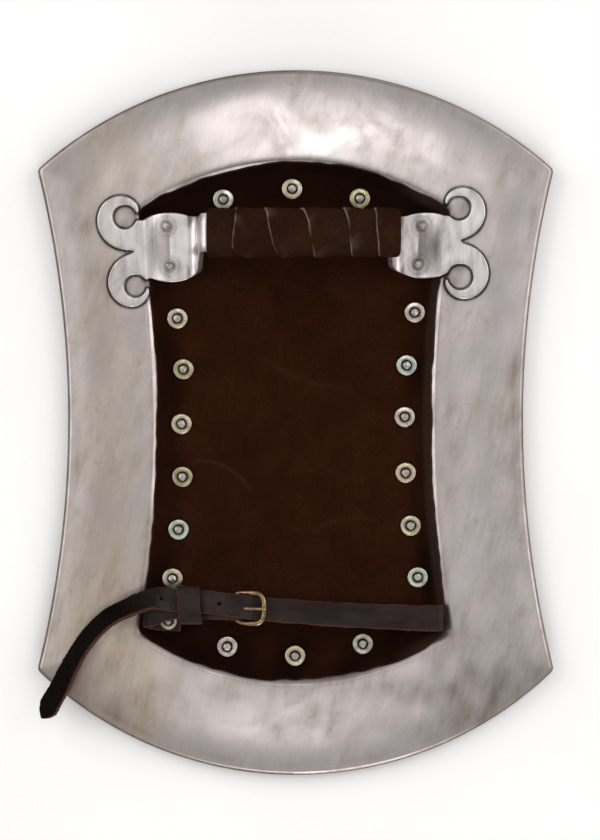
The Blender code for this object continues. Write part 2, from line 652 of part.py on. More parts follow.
def arm_strap_route():
    """The long strap's middle line: riveted end, right fold, arch, buckle, keeper and free tail."""
    corner = 0.7 * BUCKLE_LENGTH  # the frame's rounded corners begin here
    dip = Z_BAR + corner * math.sin(BUCKLE_TILT) - BUCKLE_WIRE - GAP - STRAP / 2
    over_bar = Z_BAR + BUCKLE_WIRE + STRAP + 2 * GAP + STRAP / 2
    level = BUCKLE_Y - 7.0 * MM
    route = [
        (RIGHT_FOLD - 22.3 * MM, level - 0.4 * MM, Z_UNDER),
        (RIGHT_FOLD - 9.3 * MM, level - 0.2 * MM, Z_UNDER),
    ]
    route += fold_route(RIGHT_FOLD, 1, level, level)
    arch = [
        (0.1401, -6.7, -6.9), (0.2819, -5.9, -4.6), (0.4592, -4.9, -2.2), (0.6365, -3.7, -0.9),
        (0.8138, -2.2, -0.2), (1.0, -0.5, 0.0),
    ]  # share of the way from the fold to the buckle's end, then millimetres up from the bar and in depth
    end = BUCKLE_X + BUCKLE_LENGTH - 2.0 * MM
    for share, up, deep in arch:
        route.append((RIGHT_FOLD + (end - RIGHT_FOLD) * share, BUCKLE_Y + up * MM, dip + deep * MM))
    rows = [
        (10.5, 0.2, dip + 1.2 * MM), (4.5, 1.0, over_bar - 1.2 * MM), (0.0, 1.7, over_bar),
        (-4.5, 2.3, over_bar - 1.2 * MM), (-12.5, 3.2, Z_TAIL + 3.3 * MM), (-21.5, 3.9, Z_TAIL + 0.3 * MM),
        (-28.5, 4.1, Z_TAIL), (-36.5, 4.5, Z_TAIL + 0.2 * MM), (-44.5, 5.6, Z_TAIL + 1.7 * MM),
        (-52.2, 5.7, Z_TAIL + 4.0 * MM), (-61.9, 2.7, Z_TAIL + 6.0 * MM), (-75.5, -3.5, Z_TAIL + 7.5 * MM),
        (-84.5, -10.2, Z_TAIL + 7.4 * MM), (-90.8, -17.0, Z_TAIL + 6.4 * MM),
        (-96.0, -23.9, Z_TAIL + 4.9 * MM), (-101.3, -32.7, Z_TAIL + 2.9 * MM),
        (-106.4, -42.3, Z_TAIL + 0.7 * MM), (-111.3, -52.0, Z_TAIL - 1.6 * MM),
        (-115.6, -59.5, Z_TAIL - 3.3 * MM), (-121.6, -69.5, Z_TAIL - 5.5 * MM),
    ]  # millimetres from the buckle's bar, and height
    return route + [(BUCKLE_X + x * MM, BUCKLE_Y + y * MM, z) for x, y, z in rows]


def prong_points():
    """The prong's middle line: an eye round the buckle's bar, then straight over the frame's far end."""
    eye = BUCKLE_WIRE + GAP + PRONG_WIRE
    place = buckle_place()
    points = []
    for angle in np.radians(np.linspace(330, 90, 9)):
        points.append((eye * math.cos(angle), 0, eye * math.sin(angle)))
    points += [(BUCKLE_LENGTH * share, 0, eye) for share in (0.35, 0.7, 1.12)]
    return [place @ Vector(point) for point in points]


def buckle_place():
    """The buckle's own frame: its bar at the origin, its far end towards +X and tilted up."""
    return Matrix.Translation((BUCKLE_X, BUCKLE_Y, Z_BAR)) @ Matrix.Rotation(-BUCKLE_TILT, 4, "Y")


def wire(name, points, radius, closed, resolution):
    """A round wire along straight pieces."""
    data = bpy.data.curves.new(name, "CURVE")
    data.dimensions = "3D"
    data.bevel_depth = radius
    data.bevel_resolution = resolution
    data.use_fill_caps = True
    spline = data.splines.new("POLY")
    spline.points.add(len(points) - 1)
    for point, place in zip(spline.points, points):
        point.co = (*place, 1)
    spline.use_cyclic_u = closed
    return data


def build_buckle():
    """The brass frame with its rounded far end, and the prong."""
    place = buckle_place()
    half, length = BUCKLE_HALF_WIDTH, BUCKLE_LENGTH
    outline = [(0, -half), (length * 0.35, -half * 1.02)]
    for angle in np.radians(np.linspace(-75, 75, 9)):
        x = length * (0.62 + 0.38 * math.copysign(abs(math.cos(angle)) ** 0.7, math.cos(angle)))
        outline.append((x, half * math.copysign(abs(math.sin(angle)) ** 0.7, angle)))
    outline += [(length * 0.35, half * 1.02), (0, half)]
    points = [place @ Vector((x, y, 0)) for x, y in outline]
    add_piece("buckle_frame", wire("buckle_frame", points, BUCKLE_WIRE, True, 2), "brass")
    add_piece("buckle_prong", wire("buckle_prong", prong_points(), PRONG_WIRE, False, 2), "brass")


def wire_cutter(name, points, radius):
    """A cutter along a wire, as a closed mesh."""
    curve = add_cutter(name + "_curve", wire(name, points, radius, False, 1))
    bpy.context.view_layer.update()
    mesh = bpy.data.meshes.new_from_object(curve.evaluated_get(bpy.context.evaluated_depsgraph_get()))
    shape = bmesh.new()
    shape.from_mesh(mesh)
    bmesh.ops.remove_doubles(shape, verts=shape.verts[:], dist=1e-6)
    shape.to_mesh(mesh)
    shape.free()
    bpy.data.objects.remove(curve)
    return add_cutter(name, mesh)


def build_arm_strap():
    """The long strap, with its punched holes and its twisted free tail."""
    path = smooth_path(arm_strap_route(), 5.5 * MM)
    run = np.concatenate([[0], np.cumsum(np.linalg.norm(np.diff(path, axis=0), axis=1))])
    keeper = run[np.argmin(np.abs(path[:, 0] - KEEPER_LEFT))]
    free = run[-1] - keeper
    stations = keeper + free * np.array([0, 0.14, 0.3, 0.62, 0.85, 1])
    tilt = np.radians(np.interp(run, stations, [0, 36, 45, 45, 32, 28]))
    along, across = strip_frame(path, tilt)
    from_end = run[-1] - run
    half = STRAP_WIDTH / 2 * np.minimum(1, TIP_SHARE + (1 - TIP_SHARE) * from_end / TIP_TAPER)
    strap = add_piece("arm_strap", strip_mesh("arm_strap", path, across, half), "strap_leather")
    add_solidify(strap, STRAP, 0)
    upper = np.cross(across, along)
    first = run[np.argmin(np.abs(path[:, 0] - (BUCKLE_X - FIRST_HOLE)))]
    holes = [first + HOLE_SPACING * count for count in range(HOLES)]

    def build(shape):
        for station in holes:
            index = int(np.argmin(np.abs(run - station)))
            turn = Vector(upper[index]).to_track_quat("Z", "Y").to_matrix().to_4x4()
            bmesh.ops.create_cone(shape, cap_ends=True, segments=HOLE_SIDES, radius1=HOLE_RADIUS,
                                  radius2=HOLE_RADIUS, depth=2 * STRAP,
                                  matrix=Matrix.Translation(path[index]) @ turn)
    cut(strap, add_cutter("strap_holes", mesh_from("strap_holes", build)))
    cut(strap, wire_cutter("prong_hole", prong_points()[8:], PRONG_WIRE + 2 * GAP))
    place = [STRAP_RIVETS["right"]]
    cut(strap, hole_cutter("right_anchor_hole", place, RIVET_HOLE, Z_LINING, Z_UNDER + STRAP))


def build_buckle_strap():
    """The short strap: riveted end, left fold, upper layer, turn round the buckle's bar, lower end."""
    turn = BUCKLE_WIRE + GAP + STRAP / 2
    level = BUCKLE_Y - 8.0 * MM
    route = [(LEFT_FOLD + 21.9 * MM, level - 0.6 * MM, Z_UNDER), (LEFT_FOLD + 8.9 * MM, level, Z_UNDER)]
    route += fold_route(LEFT_FOLD, -1, level + 0.6 * MM, level + 1.4 * MM)
    rows = [
        (-45.5, -3.6, Z_LOOP), (-37.5, -0.9, Z_LOOP), (-28.5, -0.4, Z_LOOP),
        (-21.5, -0.2, Z_LOOP + 0.2 * MM), (-12.5, 0.0, Z_LOOP + 3.3 * MM),
        (-5.5, 0.0, Z_BAR + turn - 1.5 * MM),
    ]  # millimetres from the buckle's bar, and height
    for angle in np.radians((90, 45, 0, -45, -90)):
        rows.append((turn * math.cos(angle) / MM, 0.0, Z_BAR + turn * math.sin(angle)))
    rows += [
        (-6.5, 0.0, Z_BAR - turn - 1.4 * MM), (-11.5, 0.0, Z_LOOP - 0.3 * MM),
        (-16.5, 0.0, Z_LOOP - 2.6 * MM),
    ]
    route += [(BUCKLE_X + x * MM, BUCKLE_Y + y * MM, z) for x, y, z in rows]
    path = smooth_path(route, 3.4 * MM)
    _, across = strip_frame(path, np.zeros(len(path)))
    half = np.full(len(path), STRAP_WIDTH / 2)
    strap = add_piece("buckle_strap", strip_mesh("buckle_strap", path, across, half), "strap_leather")
    add_solidify(strap, STRAP, 0)
    place = [STRAP_RIVETS["left"]]
    cut(strap, hole_cutter("left_anchor_hole", place, RIVET_HOLE, Z_LINING, Z_UNDER + STRAP))
    slot = PRONG_WIRE + GAP
    low = (BUCKLE_X - 2.4 * turn, BUCKLE_Y - slot, Z_BAR - 1.3 * turn)
    high = (BUCKLE_X + 2 * turn, BUCKLE_Y + slot, Z_BAR + 2 * turn)
    cut(strap, box_cutter("prong_slot", low, high))


def build_keeper():
    """The leather loop that holds the strap's tail down."""
    low = Z_LOOP - STRAP / 2 - GAP
    high = Z_TAIL + STRAP / 2 + 3 * GAP
    half = KEEPER_HALF_SPAN
    middle = Vector(((KEEPER_LEFT + KEEPER_RIGHT) / 2, KEEPER_CENTRE_Y, (low + high) / 2))
    size = (KEEPER_RIGHT - KEEPER_LEFT, 2 * (half + KEEPER), high - low + 2 * KEEPER)

    def build(shape):
        bmesh.ops.create_cube(shape, size=1, matrix=Matrix.Diagonal((*size, 1)))
        long_edges = [edge for edge in shape.edges if abs(edge.verts[0].co.x - edge.verts[1].co.x) > GAP]
        bmesh.ops.bevel(shape, geom=long_edges, offset=KEEPER, segments=2, affect="EDGES", profile=0.5)
    keeper = add_piece("keeper_loop", mesh_from("keeper_loop", build), "strap_leather")
    keeper.location = middle
    hollow = Vector((size[0], half, (high - low) / 2))
    cut(keeper, box_cutter("keeper_hollow", middle - hollow, middle + hollow))


build_plate()
build_lining()
build_rivets()
build_washers()
build_handle()
build_grip()
build_arm_strap()
build_buckle_strap()
build_keeper()
build_buckle()
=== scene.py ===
"""The back of a four-cornered steel hand shield, dressed for a studio view from straight above.

Shapes are worked out in millimetres as numpy arrays and become meshes in metres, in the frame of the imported
model: +X to the right, +Y to the top edge, +Z out of the back. Every new piece replaces its CAD node.
"""

from __future__ import annotations

import logging
import math
from dataclasses import dataclass
from enum import Enum

import bpy
import numpy as np
from mathutils import Matrix, Vector, geometry


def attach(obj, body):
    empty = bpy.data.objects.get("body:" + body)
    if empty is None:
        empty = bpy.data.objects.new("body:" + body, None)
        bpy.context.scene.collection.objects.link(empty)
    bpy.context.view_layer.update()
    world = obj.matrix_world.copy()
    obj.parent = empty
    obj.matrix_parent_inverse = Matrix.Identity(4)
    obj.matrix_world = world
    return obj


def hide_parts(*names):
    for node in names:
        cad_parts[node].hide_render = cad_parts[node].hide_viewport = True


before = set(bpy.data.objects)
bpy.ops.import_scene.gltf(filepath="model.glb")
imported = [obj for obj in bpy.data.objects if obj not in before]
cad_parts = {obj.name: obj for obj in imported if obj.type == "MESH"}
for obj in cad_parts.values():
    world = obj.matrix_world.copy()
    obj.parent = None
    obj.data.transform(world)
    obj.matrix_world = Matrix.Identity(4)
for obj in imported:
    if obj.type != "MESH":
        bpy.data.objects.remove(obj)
log = logging.getLogger("shield")
MM = 0.001
Array = np.ndarray
Marks = dict[str, Array]


# shared measures

@dataclass(frozen=True)
class Levels:
    """Heights in millimetres over the floor that the front rivet heads rest on."""

    head: float = 2.2
    gap: float = 0.3
    steel: float = 1.6
    dish: float = 8.0
    leather: float = 1.5
    bar: float = 3.0
    washer: float = 1.2
    strap: float = 2.4
    finger_room: float = 26.0
    grip_radius: float = 15.5
    loop_rise: float = 10.8
    bar_rise: float = 4.8

    @property
    def panel(self) -> float:
        """Back face of the panel's floor."""
        return self.head + self.gap + self.steel

    @property
    def flange(self) -> float:
        """Back face of the flange at its crown."""
        return self.panel + self.dish

    @property
    def lining(self) -> float:
        """Top of the lining on the floor."""
        return self.panel + self.gap + self.leather

    @property
    def handle_floor(self) -> float:
        """Middle of the handle's plates on the lining."""
        return self.lining + self.gap + self.bar / 2

    @property
    def handle_flange(self) -> float:
        """Middle of the handle's scrolls on the flange."""
        return self.flange + self.gap + self.bar / 2

    @property
    def grip(self) -> float:
        """Middle of the grip."""
        return self.lining + self.finger_room + self.grip_radius

    @property
    def under(self) -> float:
        """Middle of a strap's riveted layer."""
        return self.lining + self.gap + self.strap / 2

    @property
    def loop(self) -> float:
        """Middle of the buckle strap's upper layer."""
        return self.under + self.loop_rise

    @property
    def tail(self) -> float:
        """Middle of the long strap where it lies on the short one."""
        return self.loop + self.strap + self.gap

    @property
    def buckle_bar(self) -> float:
        """Middle of the buckle's bar."""
        return self.loop + self.bar_rise


LEVELS = Levels()


def smoothstep(share: Array) -> Array:
    """Eases from 0 to 1 as share does."""
    share = np.clip(share, 0.0, 1.0)
    return share * share * (3 - 2 * share)


def unit(value: Array) -> Array:
    """Holds a value between 0 and 1."""
    return np.clip(value, 0, 1)


def bell(value: Array) -> Array:
    """A smooth bump: 1 at zero, falling off with the square of the value."""
    return np.exp(-value ** 2)


def squared(wave: Array, power: float) -> Array:
    """Pulls a sine or cosine towards a square wave: its sign times a power of its size."""
    return np.sign(wave) * np.abs(wave) ** power


def softened(loop: Array) -> Array:
    """A closed loop with each point averaged with its two neighbours."""
    return (np.roll(loop, 1, 0) + 2 * loop + np.roll(loop, -1, 0)) / 4


def run_along(path: Array) -> Array:
    """Distance along a path at each of its points."""
    return np.concatenate([[0], np.cumsum(np.linalg.norm(np.diff(path, axis=0), axis=1))])


@dataclass(frozen=True)
class Ripple:
    """A smooth random field: a sum of plane waves with random headings and phases.

    Args:
        wavelength: typical distance between crests in millimetres.
        seed: picks the waves.
        waves: how many are added.
    """

    wavelength: float
    seed: int
    waves: int = 16

    def at(self, x: Array, y: Array) -> Array:
        """The field at the given places, about -1 to 1.

        Args:
            x: places to the right.
            y: places upwards.

        Returns:
            Values of the same shape as x and y together.
        """
        rng = np.random.default_rng(self.seed)
        heading = rng.uniform(0, 2 * math.pi, self.waves)
        pace = 2 * math.pi / (self.wavelength * rng.uniform(0.65, 1.6, self.waves))
        phase = rng.uniform(0, 2 * math.pi, self.waves)
        turn = np.asarray(x)[..., None] * (pace * np.cos(heading))
        turn = turn + np.asarray(y)[..., None] * (pace * np.sin(heading)) + phase
        return np.sin(turn).sum(-1) / math.sqrt(self.waves)


@dataclass(frozen=True)
class FourArcs:
    """A closed outline of four arcs: bowed at the top and bottom, hollow at the sides.

    Args:
        centre: its middle in millimetres.
        half_width: half the distance between left and right corners.
        half_height: half the distance between upper and lower corners.
        top: rise of the upper arc over its corners.
        bottom: fall of the lower arc under its corners.
        dip: how far each side bows inwards.
        softening: passes of averaging that round the corners.
        side_points: points along each side.
        end_points: points along the top and the bottom.
    """

    centre: tuple[float, float]
    half_width: float
    half_height: float
    top: float
    bottom: float
    dip: float
    softening: int
    side_points: int = 150
    end_points: int = 200

    @staticmethod
    def _arc(start: tuple[float, float], end: tuple[float, float], rise: float, count: int) -> Array:
        """One arc whose points lie closer together near its ends.

        Args:
            start: its first corner.
            end: its last corner, which is left out.
            rise: how far it stands off the chord, negative to the chord's right.
            count: how many points it has.

        Returns:
            The points in order.
        """
        even = np.linspace(0.0, 1.0, count + 1)[:-1]
        share = 0.45 * even + 0.55 * (0.5 - 0.5 * np.cos(math.pi * even))
        a, b = np.array(start), np.array(end)
        half = np.linalg.norm(b - a) / 2
        along = (b - a) / (2 * half)
        left = np.array([-along[1], along[0]])
        radius = (half ** 2 + rise ** 2) / (2 * abs(rise))
        reach = (2 * share - 1) * half
        height = np.sign(rise) * (np.sqrt(radius ** 2 - reach ** 2) - (radius - abs(rise)))
        return (a + b) / 2 + reach[:, None] * along + height[:, None] * left

    def points(self, out: float = 0.0) -> Array:
        """The outline moved out by one distance all round, as an anticlockwise loop of points.

        Args:
            out: distance outwards in millimetres, negative inwards.

        Returns:
            One row for each point.
        """
        bow = 2 * math.atan(self.top / self.half_width)
        hollow = 2 * math.atan(self.dip / self.half_height)
        up = out * (math.cos(hollow) - math.sin(bow)) / math.cos(bow - hollow)
        across = (out + math.sin(hollow) * up) / math.cos(hollow)
        w, h = self.half_width + across, self.half_height + up
        dip = self.dip + across - out
        loop = np.vstack([
            self._arc((w, -h), (w, h), dip, self.side_points),
            self._arc((w, h), (-w, h), -(self.top + out - up), self.end_points),
            self._arc((-w, h), (-w, -h), dip, self.side_points),
            self._arc((-w, -h), (w, -h), -(self.bottom + out - up), self.end_points),
        ])
        for _ in range(self.softening):
            loop = softened(loop)
        return loop + np.array(self.centre)


RIM = FourArcs((0.0, 1.75), 163.3, 158.1, 63.0, 66.5, 19.5, 5)
PANEL = FourArcs((-1.0, 0.6), 97.2, 132.2, 30.4, 30.2, 11.7, 40)
SHOULDER_OUT = 4.5  # the wall starts this far outside the panel's line
FOOT_IN = 6.0  # and ends this far inside it
ON_LINE = 50.0  # the "near" mark on a painted shadow line; less is inside it and more is outside
FAR_OFF = 70.0  # the "near" mark away from every line

LINING_RIVETS = (
    (-74.7, 65.8), (-70.9, 33.7), (-72.1, -0.9), (-71.5, -34.3), (-74.0, -67.7), (-77.8, -98.6),
    (75.3, 69.6), (70.2, 36.2), (69.0, 3.5), (69.6, -31.8), (72.8, -65.2), (77.2, -97.9),
    (-45.7, 141.0), (-2.2, 147.7), (40.6, 141.6), (-43.2, -141.6), (-0.3, -147.4), (42.5, -139.8),
)
STRAP_RIVETS = {"left": (-80.2, -125.0), "right": (76.6, -123.4)}
HANDLE_RIVETS = {
    "left_upper": (-81.6, 123.8), "left_lower": (-79.4, 98.8),
    "right_upper": (79.7, 123.8), "right_lower": (77.2, 99.9),
}


def wall_height(outset: Array) -> tuple[Array, Array]:
    """The panel's back face against distance outside the lining's line.

    The wall is one smooth step, steep over the panel's floor and easing out to the flange's shoulder.

    Args:
        outset: distance outside the lining's line in millimetres.

    Returns:
        Heights in millimetres and slopes in radians.
    """
    run = SHOULDER_OUT + FOOT_IN
    share = unit((np.asarray(outset) + FOOT_IN) / run)
    climb = 3 * share ** 1.7 - 2 * share ** 2.55
    slope = 5.1 * (share ** 0.7 - share ** 1.55) * LEVELS.dish / run
    return LEVELS.panel + LEVELS.dish * climb, np.arctan(slope)


# meshes from arrays

def quads(rows: int, columns: int, close_rows: bool = False) -> Array:
    """Faces of a grid of points whose columns run round in a loop.

    Args:
        rows: how many loops there are.
        columns: how many points a loop has.
        close_rows: whether the last loop is joined to the first.

    Returns:
        Four point numbers for each face.
    """
    row = np.arange(rows if close_rows else rows - 1)[:, None]
    column = np.arange(columns)[None, :]
    after, beside = (row + 1) % rows, (column + 1) % columns
    here, there = row * columns, after * columns
    faces = [here + column, here + beside, there + beside, there + column]
    return np.stack(faces, axis=-1).reshape(-1, 4)


@dataclass
class Shape:
    """Points in millimetres with their faces and per-point marks."""

    points: Array
    faces: list[Array]
    marks: Marks

    @staticmethod
    def poled(grid: Array, marks: Marks | None = None) -> "Shape":
        """A closed skin from rows of loops, with its first and last rows drawn to their middles.

        Args:
            grid: the loops in order.
            marks: values for each point, or for each loop.

        Returns:
            The closed shape.
        """
        rows, columns = grid.shape[:2]
        points = np.vstack([grid.reshape(-1, 3), grid[0].mean(0), grid[-1].mean(0)])
        column = np.arange(columns)
        beside = (column + 1) % columns
        last = (rows - 1) * columns
        first_pole = np.full(columns, rows * columns)
        fans = [
            np.stack([first_pole, beside, column], axis=1),
            np.stack([first_pole + 1, last + column, last + beside], axis=1),
        ]
        full = {}
        for name, values in (marks or {}).items():
            values = np.broadcast_to(values, (rows, columns))
            full[name] = np.concatenate([values.ravel(), [values[0].mean(), values[-1].mean()]])
        return Shape(points, [quads(rows, columns), *fans], full)

    @staticmethod
    def ring(grid: Array, marks: Marks | None = None) -> "Shape":
        """A closed skin whose rows also run round in a loop.

        Args:
            grid: the loops in order, the last beside the first.
            marks: values for each point, or for each loop.

        Returns:
            The closed shape.
        """
        rows, columns = grid.shape[:2]
        full = {}
        for name, values in (marks or {}).items():
            full[name] = np.broadcast_to(values, (rows, columns)).ravel()
        return Shape(grid.reshape(-1, 3), [quads(rows, columns, True)], full)

    def volume(self) -> float:
        """Signed volume, positive when the faces look outwards.

        Returns:
            Cubic millimetres.
        """
        total = 0.0
        for faces in self.faces:
            for a, b in ((1, 2), (2, 3))[:faces.shape[1] - 2]:
                one, two, three = (self.points[faces[:, i]] for i in (0, a, b))
                total += float(np.einsum("ij,ij->", one, np.cross(two, three)))
        return total / 6


def add_piece(name: str, shape: Shape, finish: "Finish") -> bpy.types.Object:
    """Makes a smooth-shaded object from a shape, riding on the shield and standing for its CAD node.

    Args:
        name: the piece's name and its CAD node's.
        shape: its points, faces and marks.
        finish: its finish.

    Returns:
        The new object.
    """
    outward = shape.volume() > 0
    faces = [row for block in shape.faces for row in (block if outward else block[:, ::-1]).tolist()]
    mesh = bpy.data.meshes.new(name)
    mesh.from_pydata((shape.points * MM).tolist(), [], faces)
    mesh.polygons.foreach_set("use_smooth", np.ones(len(mesh.polygons), dtype=bool))
    for mark, values in shape.marks.items():
        layer = mesh.attributes.new(mark, "FLOAT", "POINT")
        layer.data.foreach_set("value", values.astype(np.float32))
    mesh.materials.append(finish.material())
    mesh.update()
    piece = bpy.data.objects.new(name, mesh)
    bpy.context.scene.collection.objects.link(piece)
    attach(piece, "root")
    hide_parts(name)
    log.info("%s: %d points", name, len(mesh.vertices))
    return piece


# finishes

class Graph:
    """A node material under construction. Its patterns read Object coordinates."""

    def __init__(self, name: str) -> None:
        """Starts the material.

        Args:
            name: the material's name.
        """
        self.material = bpy.data.materials.new(name)
        self.material.use_nodes = True
        self.tree = self.material.node_tree
        self.shader = self.tree.nodes["Principled BSDF"]
        self.place = self._node("ShaderNodeTexCoord").outputs["Object"]

    def _node(self, kind: str, **settings: object) -> bpy.types.Node:
        """Adds one node.

        Args:
            kind: Blender's name for it.
            settings: values of its own properties.

        Returns:
            The node.
        """
        made = self.tree.nodes.new(kind)
        for key, value in settings.items():
            setattr(made, key, value)
        return made

    def put(self, socket: bpy.types.NodeSocket, value: object) -> None:
        """Links a socket or sets its value.

        Args:
            socket: the input to fill.
            value: a socket, a number or a colour.
        """
        if isinstance(value, bpy.types.NodeSocket):
            self.tree.links.new(value, socket)
        elif isinstance(value, tuple) and len(value) == 3 and socket.type == "RGBA":
            socket.default_value = (*value, 1.0)
        else:
            socket.default_value = value

    def mapped(self, stretch: tuple[float, float, float], turn: float) -> bpy.types.NodeSocket:
        """Coordinates stretched along the turned X, Y and Z.

        Args:
            stretch: how much longer the pattern is along each axis.
            turn: its turn about Z in degrees.

        Returns:
            The coordinates.
        """
        turned = self._node("ShaderNodeMapping", vector_type="POINT")
        turned.inputs["Rotation"].default_value = (0, 0, math.radians(turn))
        self.put(turned.inputs["Vector"], self.place)
        scaled = self._node("ShaderNodeMapping", vector_type="POINT")
        scaled.inputs["Scale"].default_value = tuple(1 / s for s in stretch)
        self.put(scaled.inputs["Vector"], turned.outputs["Vector"])
        return scaled.outputs["Vector"]

    def noise(self, size: float, detail: float = 4.0, rough: float = 0.55,
              stretch: tuple[float, float, float] = (1, 1, 1), turn: float = 0.0,
              warp: float = 0.0) -> bpy.types.NodeSocket:
        """Fractal noise with features of the given size in millimetres.

        Args:
            size: of its features.
            detail: how many finer octaves are added.
            rough: how strong those are.
            stretch: how much longer the pattern is along each axis.
            turn: its turn about Z in degrees.
            warp: how much it is distorted.

        Returns:
            Values from 0 to 1.
        """
        made = self._node("ShaderNodeTexNoise")
        self.put(made.inputs["Vector"], self.mapped(stretch, turn))
        made.inputs["Scale"].default_value = 1000.0 / size
        made.inputs["Detail"].default_value = detail
        made.inputs["Roughness"].default_value = rough
        made.inputs["Distortion"].default_value = warp
        return made.outputs["Fac"]

    def cells(self, size: float) -> bpy.types.NodeSocket:
        """Distance to the nearest cell centre, for leather grain.

        Args:
            size: of a cell in millimetres.

        Returns:
            The distance.
        """
        made = self._node("ShaderNodeTexVoronoi")
        self.put(made.inputs["Vector"], self.place)
        made.inputs["Scale"].default_value = 1000.0 / size
        return made.outputs["Distance"]

    def times(self, a: object, b: object) -> bpy.types.NodeSocket:
        """The product of two values."""
        return self.math("MULTIPLY", a, b)

    def mark(self, name: str) -> bpy.types.NodeSocket:
        """A per-point mark of the mesh."""
        return self._node("ShaderNodeAttribute", attribute_name=name).outputs["Fac"]

    def math(self, operation: str, a: object, b: object = 0.0, clamp: bool = False) -> bpy.types.NodeSocket:
        """One arithmetic step.

        Args:
            operation: Blender's name for it.
            a: the first value.
            b: the second value.
            clamp: whether the result is held between 0 and 1.

        Returns:
            The result.
        """
        made = self._node("ShaderNodeMath", operation=operation, use_clamp=clamp)
        self.put(made.inputs[0], a)
        self.put(made.inputs[1], b)
        return made.outputs[0]

    def span(self, value: object, low: float, high: float, to_low: float = 0.0,
             to_high: float = 1.0) -> bpy.types.NodeSocket:
        """Maps low..high onto to_low..to_high, held at both ends.

        Args:
            value: what is mapped.
            low: where the slope starts.
            high: where it ends.
            to_low: the result up to low.
            to_high: the result from high on.

        Returns:
            The mapped value.
        """
        made = self._node("ShaderNodeMapRange", clamp=True, interpolation_type="SMOOTHSTEP")
        for socket, number in zip(made.inputs, (value, low, high, to_low, to_high)):
            self.put(socket, number)
        return made.outputs[0]

    def mix(self, share: object, first: object, second: object, blend: str = "MIX") -> bpy.types.NodeSocket:
        """Blends two colours.

        Args:
            share: how much of the second colour shows.
            first: the first colour.
            second: the second colour.
            blend: Blender's name for the way they blend.

        Returns:
            The blended colour.
        """
        made = self._node("ShaderNodeMix", data_type="RGBA", blend_type=blend)
        self.put(made.inputs[0], share)
        self.put(made.inputs[6], first)
        self.put(made.inputs[7], second)
        return made.outputs[2]

    def bump(self, height: object, depth: float, strength: float = 1.0,
             below: bpy.types.NodeSocket | None = None) -> bpy.types.NodeSocket:
        """A bump of the given depth in millimetres on top of another.

        Args:
            height: the pattern.
            depth: of its full range.
            strength: how much of it shows.
            below: the bump under this one.

        Returns:
            The bent normal.
        """
        made = self._node("ShaderNodeBump")
        made.inputs["Strength"].default_value = strength
        made.inputs["Distance"].default_value = depth * MM
        self.put(made.inputs["Height"], height)
        if below:
            self.put(made.inputs["Normal"], below)
        return made.outputs["Normal"]

    def done(self, **sockets: object) -> bpy.types.Material:
        """Sets the shader's sockets by name, with underscores for spaces.

        Args:
            sockets: values or sockets for the shader's inputs.

        Returns:
            The finished material.
        """
        for key, value in sockets.items():
            self.put(self.shader.inputs[key.replace("_", " ")], value)
        return self.material


class Finish:
    """A finish that makes its material once."""

    name: str

    def material(self) -> bpy.types.Material:
        """The finish's material."""
        return bpy.data.materials.get(self.name) or self.paint(Graph(self.name))

    def paint(self, graph: Graph) -> bpy.types.Material:
        """Builds the node graph."""
        raise NotImplementedError


